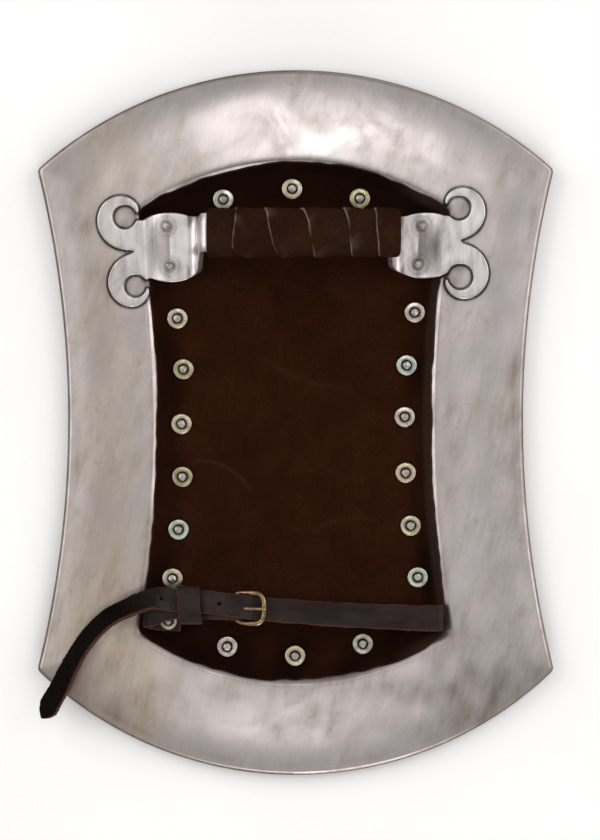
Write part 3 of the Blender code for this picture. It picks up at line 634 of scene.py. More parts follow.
@dataclass(frozen=True)
class WornSteel(Finish):
    """Ground steel with fine scratches, cloudy patches, grime and painted shade in its seams, a painted
    shadow line round the handle and along the rim's edge, and a rusty worn rim.

    Args:
        name: the material's name.
        bright: colour of clean metal.
        dull: colour of its clouded patches.
        roughness: lowest roughness.
        grain: heading of the grinding marks in degrees.
        streaks: depth of those marks in millimetres.
        lines: how dark they are.
    """

    name: str
    bright: tuple[float, float, float] = (0.56, 0.508, 0.505)
    dull: tuple[float, float, float] = (0.39, 0.342, 0.272)
    roughness: float = 0.27
    grain: float = 78.0
    streaks: float = 0.010
    lines: float = 0.22

    def paint(self, graph: Graph) -> bpy.types.Material:
        """Metal with clouds under scratches, pits and spots, then grime with painted shade, painted shadow
        lines and rust on top.

        Args:
            graph: the material under construction.

        Returns:
            The finished material.
        """
        clouds = graph.noise(46, 5, 0.6, warp=0.8)
        smears = graph.noise(9, 6, 0.65, stretch=(1, 3.5, 1), turn=self.grain - 60)
        scratch_a = graph.noise(1.0, 4, 0.7, stretch=(1, 34, 1), turn=90 - self.grain)
        scratch_b = graph.noise(1.3, 3, 0.7, stretch=(1, 22, 1), turn=34)
        speckle = graph.noise(2.0, 5, 0.75)
        patch = graph.times(graph.span(clouds, 0.36, 0.66), graph.span(smears, 0.3, 0.75))
        colour = graph.mix(graph.times(patch, 0.80), self.bright, self.dull)
        lines = graph.times(graph.span(scratch_a, 0.30, 0.50, 1.0, 0.0), graph.span(smears, 0.25, 0.6))
        colour = graph.mix(graph.times(lines, self.lines), colour, (0.20, 0.17, 0.155))
        shine = graph.times(graph.span(scratch_b, 0.56, 0.70), graph.span(clouds, 0.35, 0.6, 1.0, 0.2))
        colour = graph.mix(graph.times(shine, 0.35), colour, (0.72, 0.68, 0.66))
        pits = graph.times(graph.span(speckle, 0.62, 0.72), graph.span(clouds, 0.4, 0.6, 0.25, 1.0))
        colour = graph.mix(graph.times(pits, 0.42), colour, (0.24, 0.19, 0.155))
        spots = graph.times(graph.span(graph.noise(6, 6, 0.7, warp=0.5), 0.54, 0.68),
                           graph.span(clouds, 0.42, 0.62))
        colour = graph.mix(graph.times(spots, 0.35), colour, (0.27, 0.228, 0.175))
        # painted shadow: a near-black line on the plate along the handle's outline and the rim's edge, where
        # the near mark is close to ON_LINE
        around = graph.math("ABSOLUTE", graph.math("SUBTRACT", graph.mark("near"), ON_LINE))
        colour = graph.mix(graph.mark("warm"), colour, (1.0, 0.93, 0.80), "MULTIPLY")
        line = graph.times(graph.span(around, 0.7, 2.3, 0.95, 0.0), graph.span(smears, 0.2, 0.6, 0.6, 1.0))
        # the grime_and_shade mark darkens real dirt and painted shade alike
        grime_and_shade = graph.times(graph.mark("grime_and_shade"), graph.span(smears, 0.2, 0.7, 0.55, 1.0))
        colour = graph.mix(grime_and_shade, colour, (0.110, 0.086, 0.062))
        colour = graph.mix(line, colour, (0.016, 0.012, 0.010))
        rust = graph.times(graph.mark("rim"), graph.span(graph.noise(9, 6, 0.7), 0.25, 0.75, 0.2, 0.75))
        colour = graph.mix(rust, colour, (0.27, 0.22, 0.19))
        rough = graph.math("ADD", graph.span(clouds, 0.3, 0.7, self.roughness, self.roughness + 0.11),
                           graph.times(grime_and_shade, 0.22))
        rough = graph.math("ADD", rough, graph.times(rust, 0.16))
        normal = graph.bump(scratch_a, self.streaks * 2, 0.6)
        normal = graph.bump(scratch_b, self.streaks * 1.4, 0.5, normal)
        normal = graph.bump(graph.noise(14, 3, 0.5), 0.10, 0.5, normal)
        return graph.done(Base_Color=colour, Metallic=1.0, Roughness=rough, Normal=normal)


@dataclass(frozen=True)
class Suede(Finish):
    """Dark napped leather: mottled, brushed in patches, darkened by painted shade and paler where it is cut,
    worn or given a painted sheen.

    Args:
        name: the material's name.
        deep: colour of the darkest nap.
        light: colour of the raised nap.
        rubbed_and_sheen: colour of cut edges and scuffs, and of the painted sheen.
    """

    name: str
    deep: tuple[float, float, float] = (0.0135, 0.0044, 0.0020)
    light: tuple[float, float, float] = (0.0330, 0.0112, 0.0050)
    rubbed_and_sheen: tuple[float, float, float] = (0.105, 0.070, 0.054)

    def paint(self, graph: Graph) -> bpy.types.Material:
        """Mottled nap with flecks, darkened by painted shade and pale where worn or where a painted sheen
        lies.

        Args:
            graph: the material under construction.

        Returns:
            The finished material.
        """
        mottle = graph.noise(26, 6, 0.62, warp=0.6)
        fuzz = graph.noise(1.3, 6, 0.8)
        fibres = graph.noise(0.6, 3, 0.7, stretch=(1, 5, 1), turn=35)
        share = graph.times(graph.span(mottle, 0.25, 0.8, 0.25, 0.9), graph.span(fuzz, 0.3, 0.68, 0.2, 1.2))
        colour = graph.mix(share, self.deep, self.light)
        flecks = graph.times(graph.span(fuzz, 0.60, 0.74), 0.35)
        colour = graph.mix(flecks, colour, (0.075, 0.033, 0.02))
        colour = graph.mix(graph.mark("shade"), colour, (0.0045, 0.0022, 0.0014))
        # rub_and_sheen: cut edges and scuffs, and the painted sheen on the lining's right wall
        rub_and_sheen = graph.times(graph.mark("rubbed_and_sheen"), graph.span(fuzz, 0.25, 0.6, 0.45, 1.0))
        colour = graph.mix(rub_and_sheen, colour, self.rubbed_and_sheen)
        normal = graph.bump(fuzz, 0.16, 0.9)
        normal = graph.bump(fibres, 0.08, 0.6, normal)
        normal = graph.bump(graph.noise(7, 4, 0.6), 0.35, 0.6, normal)
        return graph.done(Base_Color=colour, Roughness=0.95, Normal=normal, Specular_IOR_Level=0.0)


@dataclass(frozen=True)
class StrapLeather(Finish):
    """Smooth dark leather with a fine grain, a waxy gloss, raw reddish cut edges and punched holes painted
    near-black as their shade.
    """

    name: str
    face: tuple[float, float, float] = (0.0125, 0.0066, 0.0052)
    worn: tuple[float, float, float] = (0.0260, 0.0170, 0.0145)
    raw: tuple[float, float, float] = (0.118, 0.040, 0.027)

    def paint(self, graph: Graph) -> bpy.types.Material:
        """Clouded leather with cell grain, torn raw edges and holes painted dark as their shade.

        Args:
            graph: the material under construction.

        Returns:
            The finished material.
        """
        grain = graph.cells(0.75)
        cloud = graph.noise(11, 5, 0.62, stretch=(2.5, 1, 1))
        fuzz = graph.noise(0.7, 5, 0.8)
        colour = graph.mix(graph.span(cloud, 0.35, 0.72), self.face, self.worn)
        edge = graph.mark("raw")
        torn = graph.mix(graph.span(fuzz, 0.3, 0.68), self.raw, (0.038, 0.0145, 0.0105))
        colour = graph.mix(edge, colour, torn)
        # painted shade: near-black in the punched holes; the hole mark also darkens the free end
        colour = graph.mix(graph.mark("hole"), colour, (0.002, 0.0015, 0.001))
        rough = graph.math("ADD", graph.span(cloud, 0.3, 0.7, 0.34, 0.48), graph.times(edge, 0.45), True)
        normal = graph.bump(grain, 0.05, 0.45)
        normal = graph.bump(graph.times(fuzz, edge), 0.35, 1.0, normal)
        gloss = graph.span(graph.mark("hole"), 0.0, 0.9, 0.13, 0.015)
        return graph.done(Base_Color=colour, Roughness=rough, Normal=normal, Specular_IOR_Level=gloss)


@dataclass(frozen=True)
class Plating(Finish):
    """Thin zinc plating whose colour drifts between straw, pink and green, with dark rings that are partly
    painted shadow, and smears.
    """

    name: str
    first: tuple[float, float, float] = (0.72, 0.64, 0.46)
    second: tuple[float, float, float] = (0.60, 0.66, 0.60)

    def paint(self, graph: Graph) -> bpy.types.Material:
        """Two drifting colours under brown spots, and under grime and painted shade from the mesh's mark.

        Args:
            graph: the material under construction.

        Returns:
            The finished material.
        """
        drift = graph.noise(6.5, 3, 0.5, warp=1.2)
        fine = graph.noise(0.5, 4, 0.6)
        colour = graph.mix(graph.span(drift, 0.38, 0.62), self.first, self.second)
        colour = graph.mix(graph.times(graph.span(graph.noise(2.2, 5, 0.7), 0.55, 0.70), 0.6), colour,
                           (0.22, 0.17, 0.11))
        # grime_and_shade: dirt and the painted shadow ring at each washer's hole
        colour = graph.mix(graph.mark("grime_and_shade"), colour, (0.045, 0.034, 0.024))
        rough = graph.span(drift, 0.3, 0.7, 0.26, 0.40)
        normal = graph.bump(fine, 0.03, 0.5)
        return graph.done(Base_Color=colour, Metallic=1.0, Roughness=rough, Normal=normal)


@dataclass(frozen=True)
class TarnishedBrass(Finish):
    """Old brass, clouded between yellow and brown."""

    name: str

    def paint(self, graph: Graph) -> bpy.types.Material:
        """Yellow brass clouded with brown.

        Args:
            graph: the material under construction.

        Returns:
            The finished material.
        """
        cloud = graph.noise(3.0, 5, 0.65)
        colour = graph.mix(graph.span(cloud, 0.35, 0.65), (0.36, 0.27, 0.13), (0.15, 0.105, 0.05))
        rough = graph.span(cloud, 0.3, 0.7, 0.28, 0.5)
        normal = graph.bump(graph.noise(0.6, 4, 0.6), 0.04, 0.5)
        return graph.done(Base_Color=colour, Metallic=1.0, Roughness=rough, Normal=normal)


@dataclass(frozen=True)
class PaleFloor(Finish):
    """A plain pale studio floor with a faint paper tooth."""

    name: str

    def paint(self, graph: Graph) -> bpy.types.Material:
        """Two near whites that drift slowly.

        Args:
            graph: the material under construction.

        Returns:
            The finished material.
        """
        tooth = graph.noise(1.5, 3, 0.5)
        shade = graph.span(graph.noise(300, 3, 0.5), 0.3, 0.7)
        colour = graph.mix(shade, (0.93, 0.93, 0.93), (0.90, 0.90, 0.90))
        return graph.done(Base_Color=colour, Roughness=0.9, Normal=graph.bump(tooth, 0.02, 0.3))


class Tint(Enum):
    """Colours that a washer's plating drifts between."""

    STRAW = ((0.62, 0.545, 0.33), (0.56, 0.51, 0.38))
    GREEN = ((0.58, 0.62, 0.46), (0.50, 0.64, 0.57))
    PINK = ((0.66, 0.53, 0.45), (0.56, 0.55, 0.50))
    STEEL = ((0.60, 0.57, 0.50), (0.50, 0.47, 0.40))
    OLIVE = ((0.50, 0.44, 0.21), (0.44, 0.44, 0.29))

    def plating(self) -> Plating:
        """The plating that drifts between this pair of colours."""
        return Plating(f"zinc_{self.name.lower()}", *self.value)


# the pieces

@dataclass(frozen=True)
class ShieldPlate:
    """The steel plate: rim turned to the front, crowned flange, shoulder, wall and flat panel.

    Args:
        turn: radius of the turned rim in millimetres.
        drop: fall of the flange from its crown to the rim.
        flange_rows: rows of points across the flange.
        flange_span: how much the depth mark grows over the flange.
        wall_from: its value at the top of the wall.
        wall_span: how much it grows over the wall.
        floor_depth: its value on the floor.
        stains_and_shade: soft dark places, partly stains and partly painted shade in the corners, down the
            right side and under the strap's tail, as x, y, half width, half height and strength.
    """

    turn: float = 3.5
    drop: float = 2.5
    flange_rows: int = 56
    flange_span: float = 55.0
    wall_from: float = 60.0
    wall_span: float = 10.0
    floor_depth: float = 80.0
    stains_and_shade: tuple[tuple[float, float, float, float, float], ...] = (
        (-126, 122, 16, 10, 0.34), (-121, 92, 12, 16, 0.30), (-97, 150, 12, 7, 0.20),
        (118, 118, 15, 24, 0.22), (-103, -123, 9, 14, 0.50), (-112, -108, 12, 10, 0.30),
        (104, -128, 8, 14, 0.30), (122, -172, 50, 30, 0.80), (-117, -172, 46, 28, 0.42),
        (-150, 150, 40, 26, 0.26), (150, 150, 40, 26, 0.20), (0, -168, 60, 5, 0.16),
        (97, 20, 5, 70, 0.22), (-98, -20, 4, 80, 0.16), (60, -190, 60, 14, 0.12),
        (137, 5, 9, 115, 0.34), (-118, -20, 14, 90, 0.10), (-60, 178, 16, 24, 0.10),
    )

    def rings(self) -> tuple[Array, Array]:
        """Rows of the back face from the rim's edge inwards, and each row's distance from the rim.

        Returns:
            The rows, and one distance for each.
        """
        bend = np.linspace(0, math.pi / 2, 8)
        edge = LEVELS.flange - self.drop
        count = len(RIM.points())
        rows = [np.c_[RIM.points(-self.turn * (1 - math.cos(a))),
                      np.full(count, edge - self.turn * (1 - math.sin(a)))] for a in bend]
        depth = [self.turn * (1 - math.cos(a)) for a in bend]
        outer, inner = RIM.points(-self.turn), PANEL.points(SHOULDER_OUT)
        for share in np.linspace(0, 1, self.flange_rows)[1:]:
            flat = (1 - share) * outer + share * inner
            fall = self.drop * (1 - min(share / 0.55, 1)) ** 2.2
            swell = 0.22 * Ripple(105, 5).at(*flat.T) + 0.05 * Ripple(31, 6).at(*flat.T)
            fade = math.sin(math.pi * min(share, 0.999)) ** 0.7
            rows.append(np.c_[flat, LEVELS.flange - fall + swell * fade])
            depth.append(self.turn + self.flange_span * share)
        for step in np.linspace(0, 1, 15)[1:]:
            outset = SHOULDER_OUT - (SHOULDER_OUT + FOOT_IN) * step
            rows.append(np.c_[PANEL.points(outset), np.full(count, wall_height(outset)[0])])
            depth.append(self.wall_from + self.wall_span * step)
        foot = rows[-1]
        middle = np.array([*PANEL.centre, foot[0, 2]])
        rows += [middle + (foot - middle) * k for k in (0.9, 0.7, 0.45, 0.2)]
        depth += [self.floor_depth] * 4
        return np.stack(rows), np.array(depth)

    @staticmethod
    def handle_dirt_and_shade(x: Array, y: Array) -> tuple[Array, Array]:
        """Dirt and painted shade in the hollows of the handle's scrolls and along its outline, and signed
        distance outside its outline plus 50.

        Args:
            x: places to the right.
            y: places upwards.

        Returns:
            The dirt and painted shade, and the distance plus ON_LINE.
        """
        grime_and_shade, near = np.zeros_like(x), np.full_like(x, FAR_OFF)
        for end in HANDLE_ENDS:
            loop = evenly(end.outline() * (end.side, 1), 0.5)
            close = (np.abs(x - end.side * 103) < 36) & (np.abs(y - 111) < 52)
            place = np.c_[x[close], y[close]]
            away = np.min(np.hypot(place[:, :1] - loop[:, 0], place[:, 1:] - loop[:, 1]), axis=1)
            inside = Handle.inside(place, loop, 0.0)
            near[close] = ON_LINE + np.clip(np.where(inside, -away, away), -20, 20)
            dirt_and_shade = 0.20 * bell(away / 3.0)
            for scroll in end.scrolls:
                hollow = np.hypot(place[:, 0] - end.side * scroll.x, place[:, 1] - scroll.y) < scroll.hollow
                dirt_and_shade += 0.36 * hollow
            grime_and_shade[close] += dirt_and_shade * (0.85 + 0.3 * Ripple(9, 4).at(*place.T))
        return grime_and_shade, near

    def build(self, finish: Finish) -> bpy.types.Object:
        """Offsets the back face by the sheet's thickness along its normals and joins both at the rim.

        Args:
            finish: its steel.

        Returns:
            The plate.
        """
        back, depth = self.rings()
        deep = depth[:, None]
        down = np.gradient(back, axis=0)
        round_ = np.roll(back, -1, 1) - np.roll(back, 1, 1)
        normal = np.cross(round_, down)
        normal /= np.linalg.norm(normal, axis=2)[..., None]
        normal *= np.sign(normal[20, :, 2].mean())
        front = back - normal * LEVELS.steel
        lip = (back[0] + front[0]) / 2 - np.array([0, 0, 0.35])
        kept = np.r_[0:8, 9:len(front) - 5:3, len(front) - 5:len(front)]
        grid = np.concatenate([back[::-1], lip[None], front[kept]])
        rim = bell(depth / 3.2)
        x, y = back[..., 0], back[..., 1]
        grime_and_shade = np.zeros_like(x)
        # stains and painted shade: the corners, the right side and the plate under the strap are darkened as
        # if less lit
        for cx, cy, rx, ry, strength in self.stains_and_shade:
            grime_and_shade += strength * np.exp(-((x - cx) / rx) ** 2 - ((y - cy) / ry) ** 2)
        grime_and_shade *= 0.8 + 0.3 * Ripple(24, 8).at(x, y)
        # painted shade on the shoulder next to the lining, with some dirt in the seam, darker still under the
        # lining's edge
        seam = unit((deep - 56) / 5)
        blotch = 0.75 + 0.3 * Ripple(38, 9).at(x, y)
        grime_and_shade += 0.42 * seam * blotch + 0.4 * unit((deep - 64) / 3)
        # dirt and painted shade round the handle's ends; near places the painted shadow line round its
        # outline
        outline_dirt_and_shade, near = self.handle_dirt_and_shade(x, y)
        grime_and_shade += outline_dirt_and_shade
        # the painted shadow line also runs along the rim's edge, wider on the left
        near = np.minimum(near, ON_LINE + deep * np.where(x < 0, 1.1, 1.9))
        grime_and_shade += 0.30 * bell((deep - 6.5) / 2.6) * unit(Ripple(60, 3).at(x, y))
        # painted shade on the rim's outer edge, stronger on the left
        grime_and_shade += bell(deep / 1.6) * np.where(x < 0, 0.85, 0.45)
        front_grime_and_shade = np.where(deep > 75, 0.05, grime_and_shade * 0.35)
        warm = np.exp(-((x + 120) / 45) ** 2 - ((y + 165) / 60) ** 2) + 0.6 * bell((x + 118) / 22)
        marks = {
            "warm": np.clip(np.concatenate([warm[::-1], warm[:1], 0 * warm[kept]]), 0, 0.9),
            "rim": np.concatenate([rim[::-1], [1.0], rim[kept]])[:, None],
            "grime_and_shade": np.clip(np.concatenate([grime_and_shade[::-1], grime_and_shade[:1], front_grime_and_shade[kept]]), 0, 0.9),
            "near": np.concatenate([near[::-1], near[:1], np.full_like(near[kept], FAR_OFF)]),
        }
        return add_piece("shield_plate", Shape.poled(grid, marks), finish)


@dataclass(frozen=True)
class Lining:
    """The suede sheet: its hand-cut edge wanders on the wall, and it puffs up round each washer.

    Args:
        edge: how far its cut edge stands outside the panel's line in millimetres.
        wander: how far that edge strays.
        draped_over: offsets over which the wall under it is averaged.
    """

    edge: float = 1.0
    wander: float = 0.9
    draped_over: tuple[float, ...] = (-1.8, -0.9, 0, 0.9, 1.8)

    def build(self, finish: Finish) -> bpy.types.Object:
        """Rings follow the wall's normal, then shrink to the middle of the floor.

        Args:
            finish: its suede.

        Returns:
            The lining.
        """
        outsets = np.append(np.linspace(self.edge, -FOOT_IN - 1.8, 14), -FOOT_IN - 3)
        base = PANEL.points(0)
        side = np.roll(base, -1, 0) - np.roll(base, 1, 0)
        out = np.c_[side[:, 1], -side[:, 0]] / np.linalg.norm(side, axis=1)[:, None]
        stray = self.wander * (0.7 * Ripple(48, 21).at(*base.T) + 0.3 * Ripple(13, 22).at(*base.T))
        stray = np.clip(stray, -1.5, 1.0)
        rows, lows = [], []
        for outset in outsets:
            give = stray * max(0.0, 1 - (self.edge - outset) / 5)
            nearby = [wall_height(outset + give + apart) for apart in self.draped_over]
            height, slope = np.mean(nearby, axis=0)
            skived = 1 - 0.5 * max(0.0, 1 - (self.edge - outset) / 4)
            for lift, store in ((LEVELS.gap + LEVELS.leather * skived, rows), (LEVELS.gap, lows)):
                flat = PANEL.points(outset) + out * (give - lift * np.sin(slope))[:, None]
                store.append(np.c_[flat, height + lift * np.cos(slope)])
        top, low = np.stack(rows), np.stack(lows)
        middle = np.array([*PANEL.centre, top[-1, 0, 2]])
        shares = np.linspace(1, 0, 62)[1:-1, None, None]
        floor = middle + (top[-1] - middle) * shares
        x, y = floor[..., 0], floor[..., 1]
        settled = smoothstep((1 - shares[..., 0]) * 95 / 14)
        floor[..., 2] += settled * (0.16 * Ripple(44, 31).at(x, y) + 0.06 * Ripple(12, 32).at(x, y))
        for cx, cy in (*LINING_RIVETS, *STRAP_RIVETS.values()):
            away = np.hypot(x - cx, y - cy)
            puff = 0.45 * bell((away - 9.5) / 2.6) - 0.25 * np.exp(-(away / 5.5) ** 4)
            floor[..., 2] += puff * settled
        under = np.array([*PANEL.centre, low[-1, 0, 2]])
        base_rows = under + (low[-1] - under) * np.array([0.6, 0.2])[:, None, None]
        rim = (top[:1] + low[:1]) / 2 + np.array([0, 0, 0.05])
        grid = np.concatenate([floor[::-1], top[::-1], rim, low, base_rows])
        rubbed_and_sheen = np.zeros(grid.shape[:2])
        rubbed_and_sheen[len(floor) + len(top):len(floor) + len(top) + 2] = 0.35
        x, y = grid[..., 0], grid[..., 1]
        wall = unit((grid[..., 2] - LEVELS.lining - 0.6) / 2.5)
        # painted sheen: the wall is paler on the right side, as if catching light
        rubbed_and_sheen += 0.16 * wall * unit((x - 60) / 20)
        for (ax, ay), (bx, by), bow, strength in SCRATCHES:
            rubbed_and_sheen += strength * scratch(x, y, (ax, ay), (bx, by), bow)
        margin = np.zeros(grid.shape[:2])
        margin[:len(floor)] = bell((1 - shares[::-1, :, 0]) * 95 / 9)
        margin[len(floor):len(floor) + len(top) + 1] = 1.0
        shade = 0.55 * margin * (0.75 + 0.35 * Ripple(40, 35).at(x, y)) + 0.50 * smoothstep((y - 112) / 16)
        shade += 0.35 * smoothstep((-118 - y) / 12) * (1 - 0.4 * margin)
        marks = {"rubbed_and_sheen": unit(rubbed_and_sheen), "shade": np.clip(shade, 0, 0.8)}
        return add_piece("leather_lining", Shape.poled(grid, marks), finish)


SCRATCHES = (
    ((-64, -24), (-28, -44), 6.0, 0.10),
    ((-20, 40), (30, 22), -4.0, 0.05),
    ((10, -70), (52, -62), 5.0, 0.05),
)


def scratch(x: Array, y: Array, start: tuple[float, float], end: tuple[float, float], bow: float) -> Array:
    """A faint curved line from start to end that stands off its chord by bow, as a mark of 0 to 1.

    Args:
        x: places to the right.
        y: places upwards.
        start: where it begins.
        end: where it ends.
        bow: how far it bows to its left.

    Returns:
        The mark's strength at each place.
    """
    a, b = np.array(start), np.array(end)
    span = np.linalg.norm(b - a)
    along = (b - a) / span
    run = (x - a[0]) * along[0] + (y - a[1]) * along[1]
    off = -(x - a[0]) * along[1] + (y - a[1]) * along[0]
    share = unit(run / span)
    line = off - bow * 4 * share * (1 - share)
    return bell(line / 1.1) * ((run > 0) & (run < span))


@dataclass(frozen=True)
class Hardware:
    """Turned pieces: washers, and rivets with hammered upper ends.

    Args:
        shank: rivet shank radius in millimetres.
        head: radius of the domed front head.
        peen: radius of the hammered end.
        peen_height: its height.
        bore: radius of a washer's hole.
        washer_radius: outer radius of the lining's washers.
        strap_washer: outer radius of the straps' washers.
        sides: points round each turned piece.
        strap_seed: picks the strap rivets' dents.
        handle_seed: picks the handle rivets' dents.
    """

    shank: float = 2.0
    head: float = 5.0
    peen: float = 2.6
    peen_height: float = 1.5
    bore: float = 3.1
    washer_radius: float = 6.4
    strap_washer: float = 5.6
    sides: int = 64
    strap_seed: int = 40
    handle_seed: int = 60

    def _turned(self, radius: Array, height: Array, place: tuple[float, float, float]) -> Array:
        """Turns a profile about an upright axis.

        Args:
            radius: distances from the axis.
            height: heights of the same points.
            place: the foot of the axis.

        Returns:
            One loop for each point of the profile.
        """
        turn = np.linspace(0, 2 * math.pi, self.sides, endpoint=False)
        grid = np.stack([radius[:, None] * np.cos(turn), radius[:, None] * np.sin(turn),
                         np.broadcast_to(height[:, None], (len(height), self.sides))], axis=-1)
        return grid + np.array(place)

    def rivet(self, name: str, x: float, y: float, top: float, finish: Finish,
              seed: int) -> bpy.types.Object:
        """A rivet whose upper end is hammered over at the given height.

        Args:
            name: the piece's name.
            x: its place to the right.
            y: its place upwards.
            top: the height of what it holds down.
            finish: its steel.
            seed: picks its dents.

        Returns:
            The rivet.
        """
        low = top + LEVELS.gap
        dome = np.linspace(0.15, math.pi / 2, 9)
        cap_end = 1.35
        cap = np.linspace(0.1, cap_end, 9)
        collar = [self.peen * 0.97, self.shank, self.shank, self.head * 0.97]
        radius = np.concatenate([self.peen * np.sin(dome), collar, self.head * np.cos(cap), [1.0]])
        hammered = low + self.peen_height * (0.35 + 0.65 * np.cos(dome))
        domed = LEVELS.head * (1 - np.sin(cap) / math.sin(cap_end))
        height = np.concatenate([hammered, [low, low, LEVELS.head, LEVELS.head], domed, [0.0]])
        grid = self._turned(radius, height, (x, y, 0.0))
        knocks = Ripple(3.4, 100 + seed).at(grid[..., 0], grid[..., 1])
        upper = (grid[..., 2] > low + 0.1).astype(float)
        grid[..., 2] += 0.16 * knocks * upper
        grid[..., 0] += 0.14 * knocks * upper
        away = np.hypot(grid[..., 0] - x, grid[..., 1] - y)
        # the hammered end is darker round its sides than on its top, and a little darker all over
        grime_and_shade = unit((away - 1.7) / 0.9) * upper * 0.8 + 0.25 * upper
        marks = {"grime_and_shade": np.clip(grime_and_shade, 0, 0.9), "rim": np.zeros(1)}
        return add_piece(name, Shape.poled(grid, marks), finish)

    def washer(self, name: str, x: float, y: float, top: float, outer: float, finish: Finish,
               seed: int) -> bpy.types.Object:
        """A stamped washer with eased edges, slightly cupped and tipped by its rivet.

        Args:
            name: the piece's name.
            x: its place to the right.
            y: its place upwards.
            top: the height of its upper face.
            outer: its outer radius.
            finish: its plating.
            seed: picks its tip and its dirt.

        Returns:
            The washer.
        """
        turn = np.linspace(0, 2 * math.pi, 20, endpoint=False)
        half, thick = (outer - self.bore) / 2, LEVELS.washer / 2
        square = 2 / 5
        u = half * squared(np.cos(turn), square)
        v = thick * squared(np.sin(turn), square)
        grid = self._turned((outer + self.bore) / 2 + u, v - 0.12 * (u / half), (x, y, top - thick))
        tip = np.random.default_rng(seed).uniform(-0.02, 0.02, 2)
        grid[..., 2] += (grid[..., 0] - x) * tip[0] + (grid[..., 1] - y) * tip[1]
        away = np.hypot(grid[..., 0] - x, grid[..., 1] - y)
        patches = unit(Ripple(6, 200 + seed).at(grid[..., 0], grid[..., 1]))
        # a dark ring at the hole, painted shadow of the rivet's end over some dirt; a darker outer edge and
        # dirty patches
        grime_and_shade = 0.85 * bell((away - self.bore) / 0.9) + 0.45 * unit((away - outer + 0.5) / 0.5)
        marks = {"grime_and_shade": np.clip(grime_and_shade + 0.25 * patches, 0, 0.9)}
        return add_piece(name, Shape.ring(grid, marks), finish)

    def build(self, steel: Finish) -> int:
        """Every rivet and washer of the shield.

        Args:
            steel: the rivets' finish.

        Returns:
            How many pieces were made.
        """
        tints = (
            Tint.STRAW, Tint.OLIVE, Tint.STRAW, Tint.OLIVE, Tint.GREEN, Tint.STRAW,
            Tint.PINK, Tint.GREEN, Tint.PINK, Tint.STRAW, Tint.STRAW, Tint.GREEN,
            Tint.STEEL, Tint.STRAW, Tint.OLIVE, Tint.PINK, Tint.STRAW, Tint.STEEL,
        )
        over = LEVELS.lining + LEVELS.gap + LEVELS.washer
        for number, ((x, y), tint) in enumerate(zip(LINING_RIVETS, tints), 1):
            self.rivet(f"lining_rivet_{number:02d}", x, y, over, steel, number)
            name = f"lining_washer_{number:02d}"
            self.washer(name, x, y, over, self.washer_radius, tint.plating(), number)
        over = LEVELS.under + LEVELS.strap / 2 + LEVELS.gap + LEVELS.washer
        for count, (side, (x, y)) in enumerate(STRAP_RIVETS.items()):
            seed = self.strap_seed + count
            self.rivet(f"strap_rivet_{side}", x, y, over, steel, seed)
            self.washer(f"strap_washer_{side}", x, y, over, self.strap_washer, Tint.STRAW.plating(), seed)
        for count, (place, (x, y)) in enumerate(HANDLE_RIVETS.items()):
            path = BendPath(HANDLE_ENDS[x < 0].step_outer)
            level = float(np.interp(abs(x), path.out[path.foot_index:], path.rise[path.foot_index:]))
            top = level + LEVELS.bar / 2
            self.rivet(f"handle_rivet_{place}", x, y, top, steel, self.handle_seed + count)
        return 2 * len(LINING_RIVETS) + 2 * len(STRAP_RIVETS) + len(HANDLE_RIVETS)


@dataclass(frozen=True)
class Scroll:
    """One curl of a handle end, in millimetres and degrees.

    Args:
        x: outward distance of its hollow's middle.
        y: height of its hollow's middle.
        hollow: radius of the hollow.
        junction: angle where the hollow leaves the plate.
        tip: angle of the curl's end.
        root: angle where its outer edge meets the notch.
        tip_radius: outer radius at the tip.
        root_radius: outer radius at the root.
    """

    x: float
    y: float
    hollow: float
    junction: float
    tip: float
    root: float
    tip_radius: float
    root_radius: float

    def outline(self, up: int) -> Array:
        """The hollow from junction to tip, the rounded tip, and the spiral outer edge to the root.

        Args:
            up: 1 for an upper scroll and -1 for a lower one.

        Returns:
            Points from the junction to the root.
        """
        inner = np.radians(np.linspace(self.junction, self.tip + 360, 70))
        turn = np.linspace(0, 1, 90)[1:]
        outer = np.radians(self.tip + (self.root - self.tip) * turn)
        radius = self.tip_radius + (self.root_radius - self.tip_radius) * turn ** 0.85
        middle, half = (self.hollow + self.tip_radius) / 2, (self.tip_radius - self.hollow) / 2
        cap = np.linspace(math.pi, 0, 9)[1:]
        angle = math.radians(self.tip) + half * np.sin(cap) / middle
        cap_radius = middle + half * np.cos(cap)
        angles = np.concatenate([inner, angle, outer])
        radii = np.concatenate([np.full(len(inner), self.hollow), cap_radius, radius])
        return np.c_[self.x + radii * np.cos(angles), self.y + up * radii * np.sin(angles)]


@dataclass(frozen=True)
class HandleEnd:
    """One end of the handle: an oval plate that runs out into two scrolls."""

    side: int
    oval: tuple[float, float, float, float]
    scrolls: tuple[Scroll, Scroll]
    notch: tuple[float, float]
    step_outer: float

    def outline(self) -> Array:
        """The end in plan, from the riser's upper side round both scrolls to its lower side.

        Returns:
            Points in order, with outward distance first.
        """
        cx, cy, rx, ry = self.oval
        halves = []
        for up, scroll in zip((1, -1), self.scrolls):
            curl = scroll.outline(up)
            stop = math.degrees(math.atan2(up * (curl[0, 1] - cy), curl[0, 0] - cx)) + 9
            angle = np.radians(np.linspace(117, stop, 50))
            power = 2 / 2.25
            x = cx + rx * squared(np.cos(angle), power)
            halves.append(np.vstack([np.c_[x, cy + up * ry * np.sin(angle) ** power], curl]))
        return np.vstack([halves[0], [self.notch], halves[1][::-1]])


HANDLE_ENDS = (
    HandleEnd(1, (81.6, 111.7, 23.3, 20.8), (
        Scroll(102.8, 135.0, 7.8, 217, 160, -82, 9.1, 19.6),
        Scroll(103.6, 91.7, 8.2, 198, 167, -84, 9.4, 21.2),
    ), (103.6, 114.3), 92.7),
    HandleEnd(-1, (79.1, 110.6, 23.3, 22.0), (
        Scroll(107.5, 129.3, 7.6, 196, 156, -98, 9.5, 21.0),
        Scroll(100.7, 85.9, 7.2, 213, 168, -80, 8.3, 20.4),
    ), (101.0, 107.6), 94.7),
)


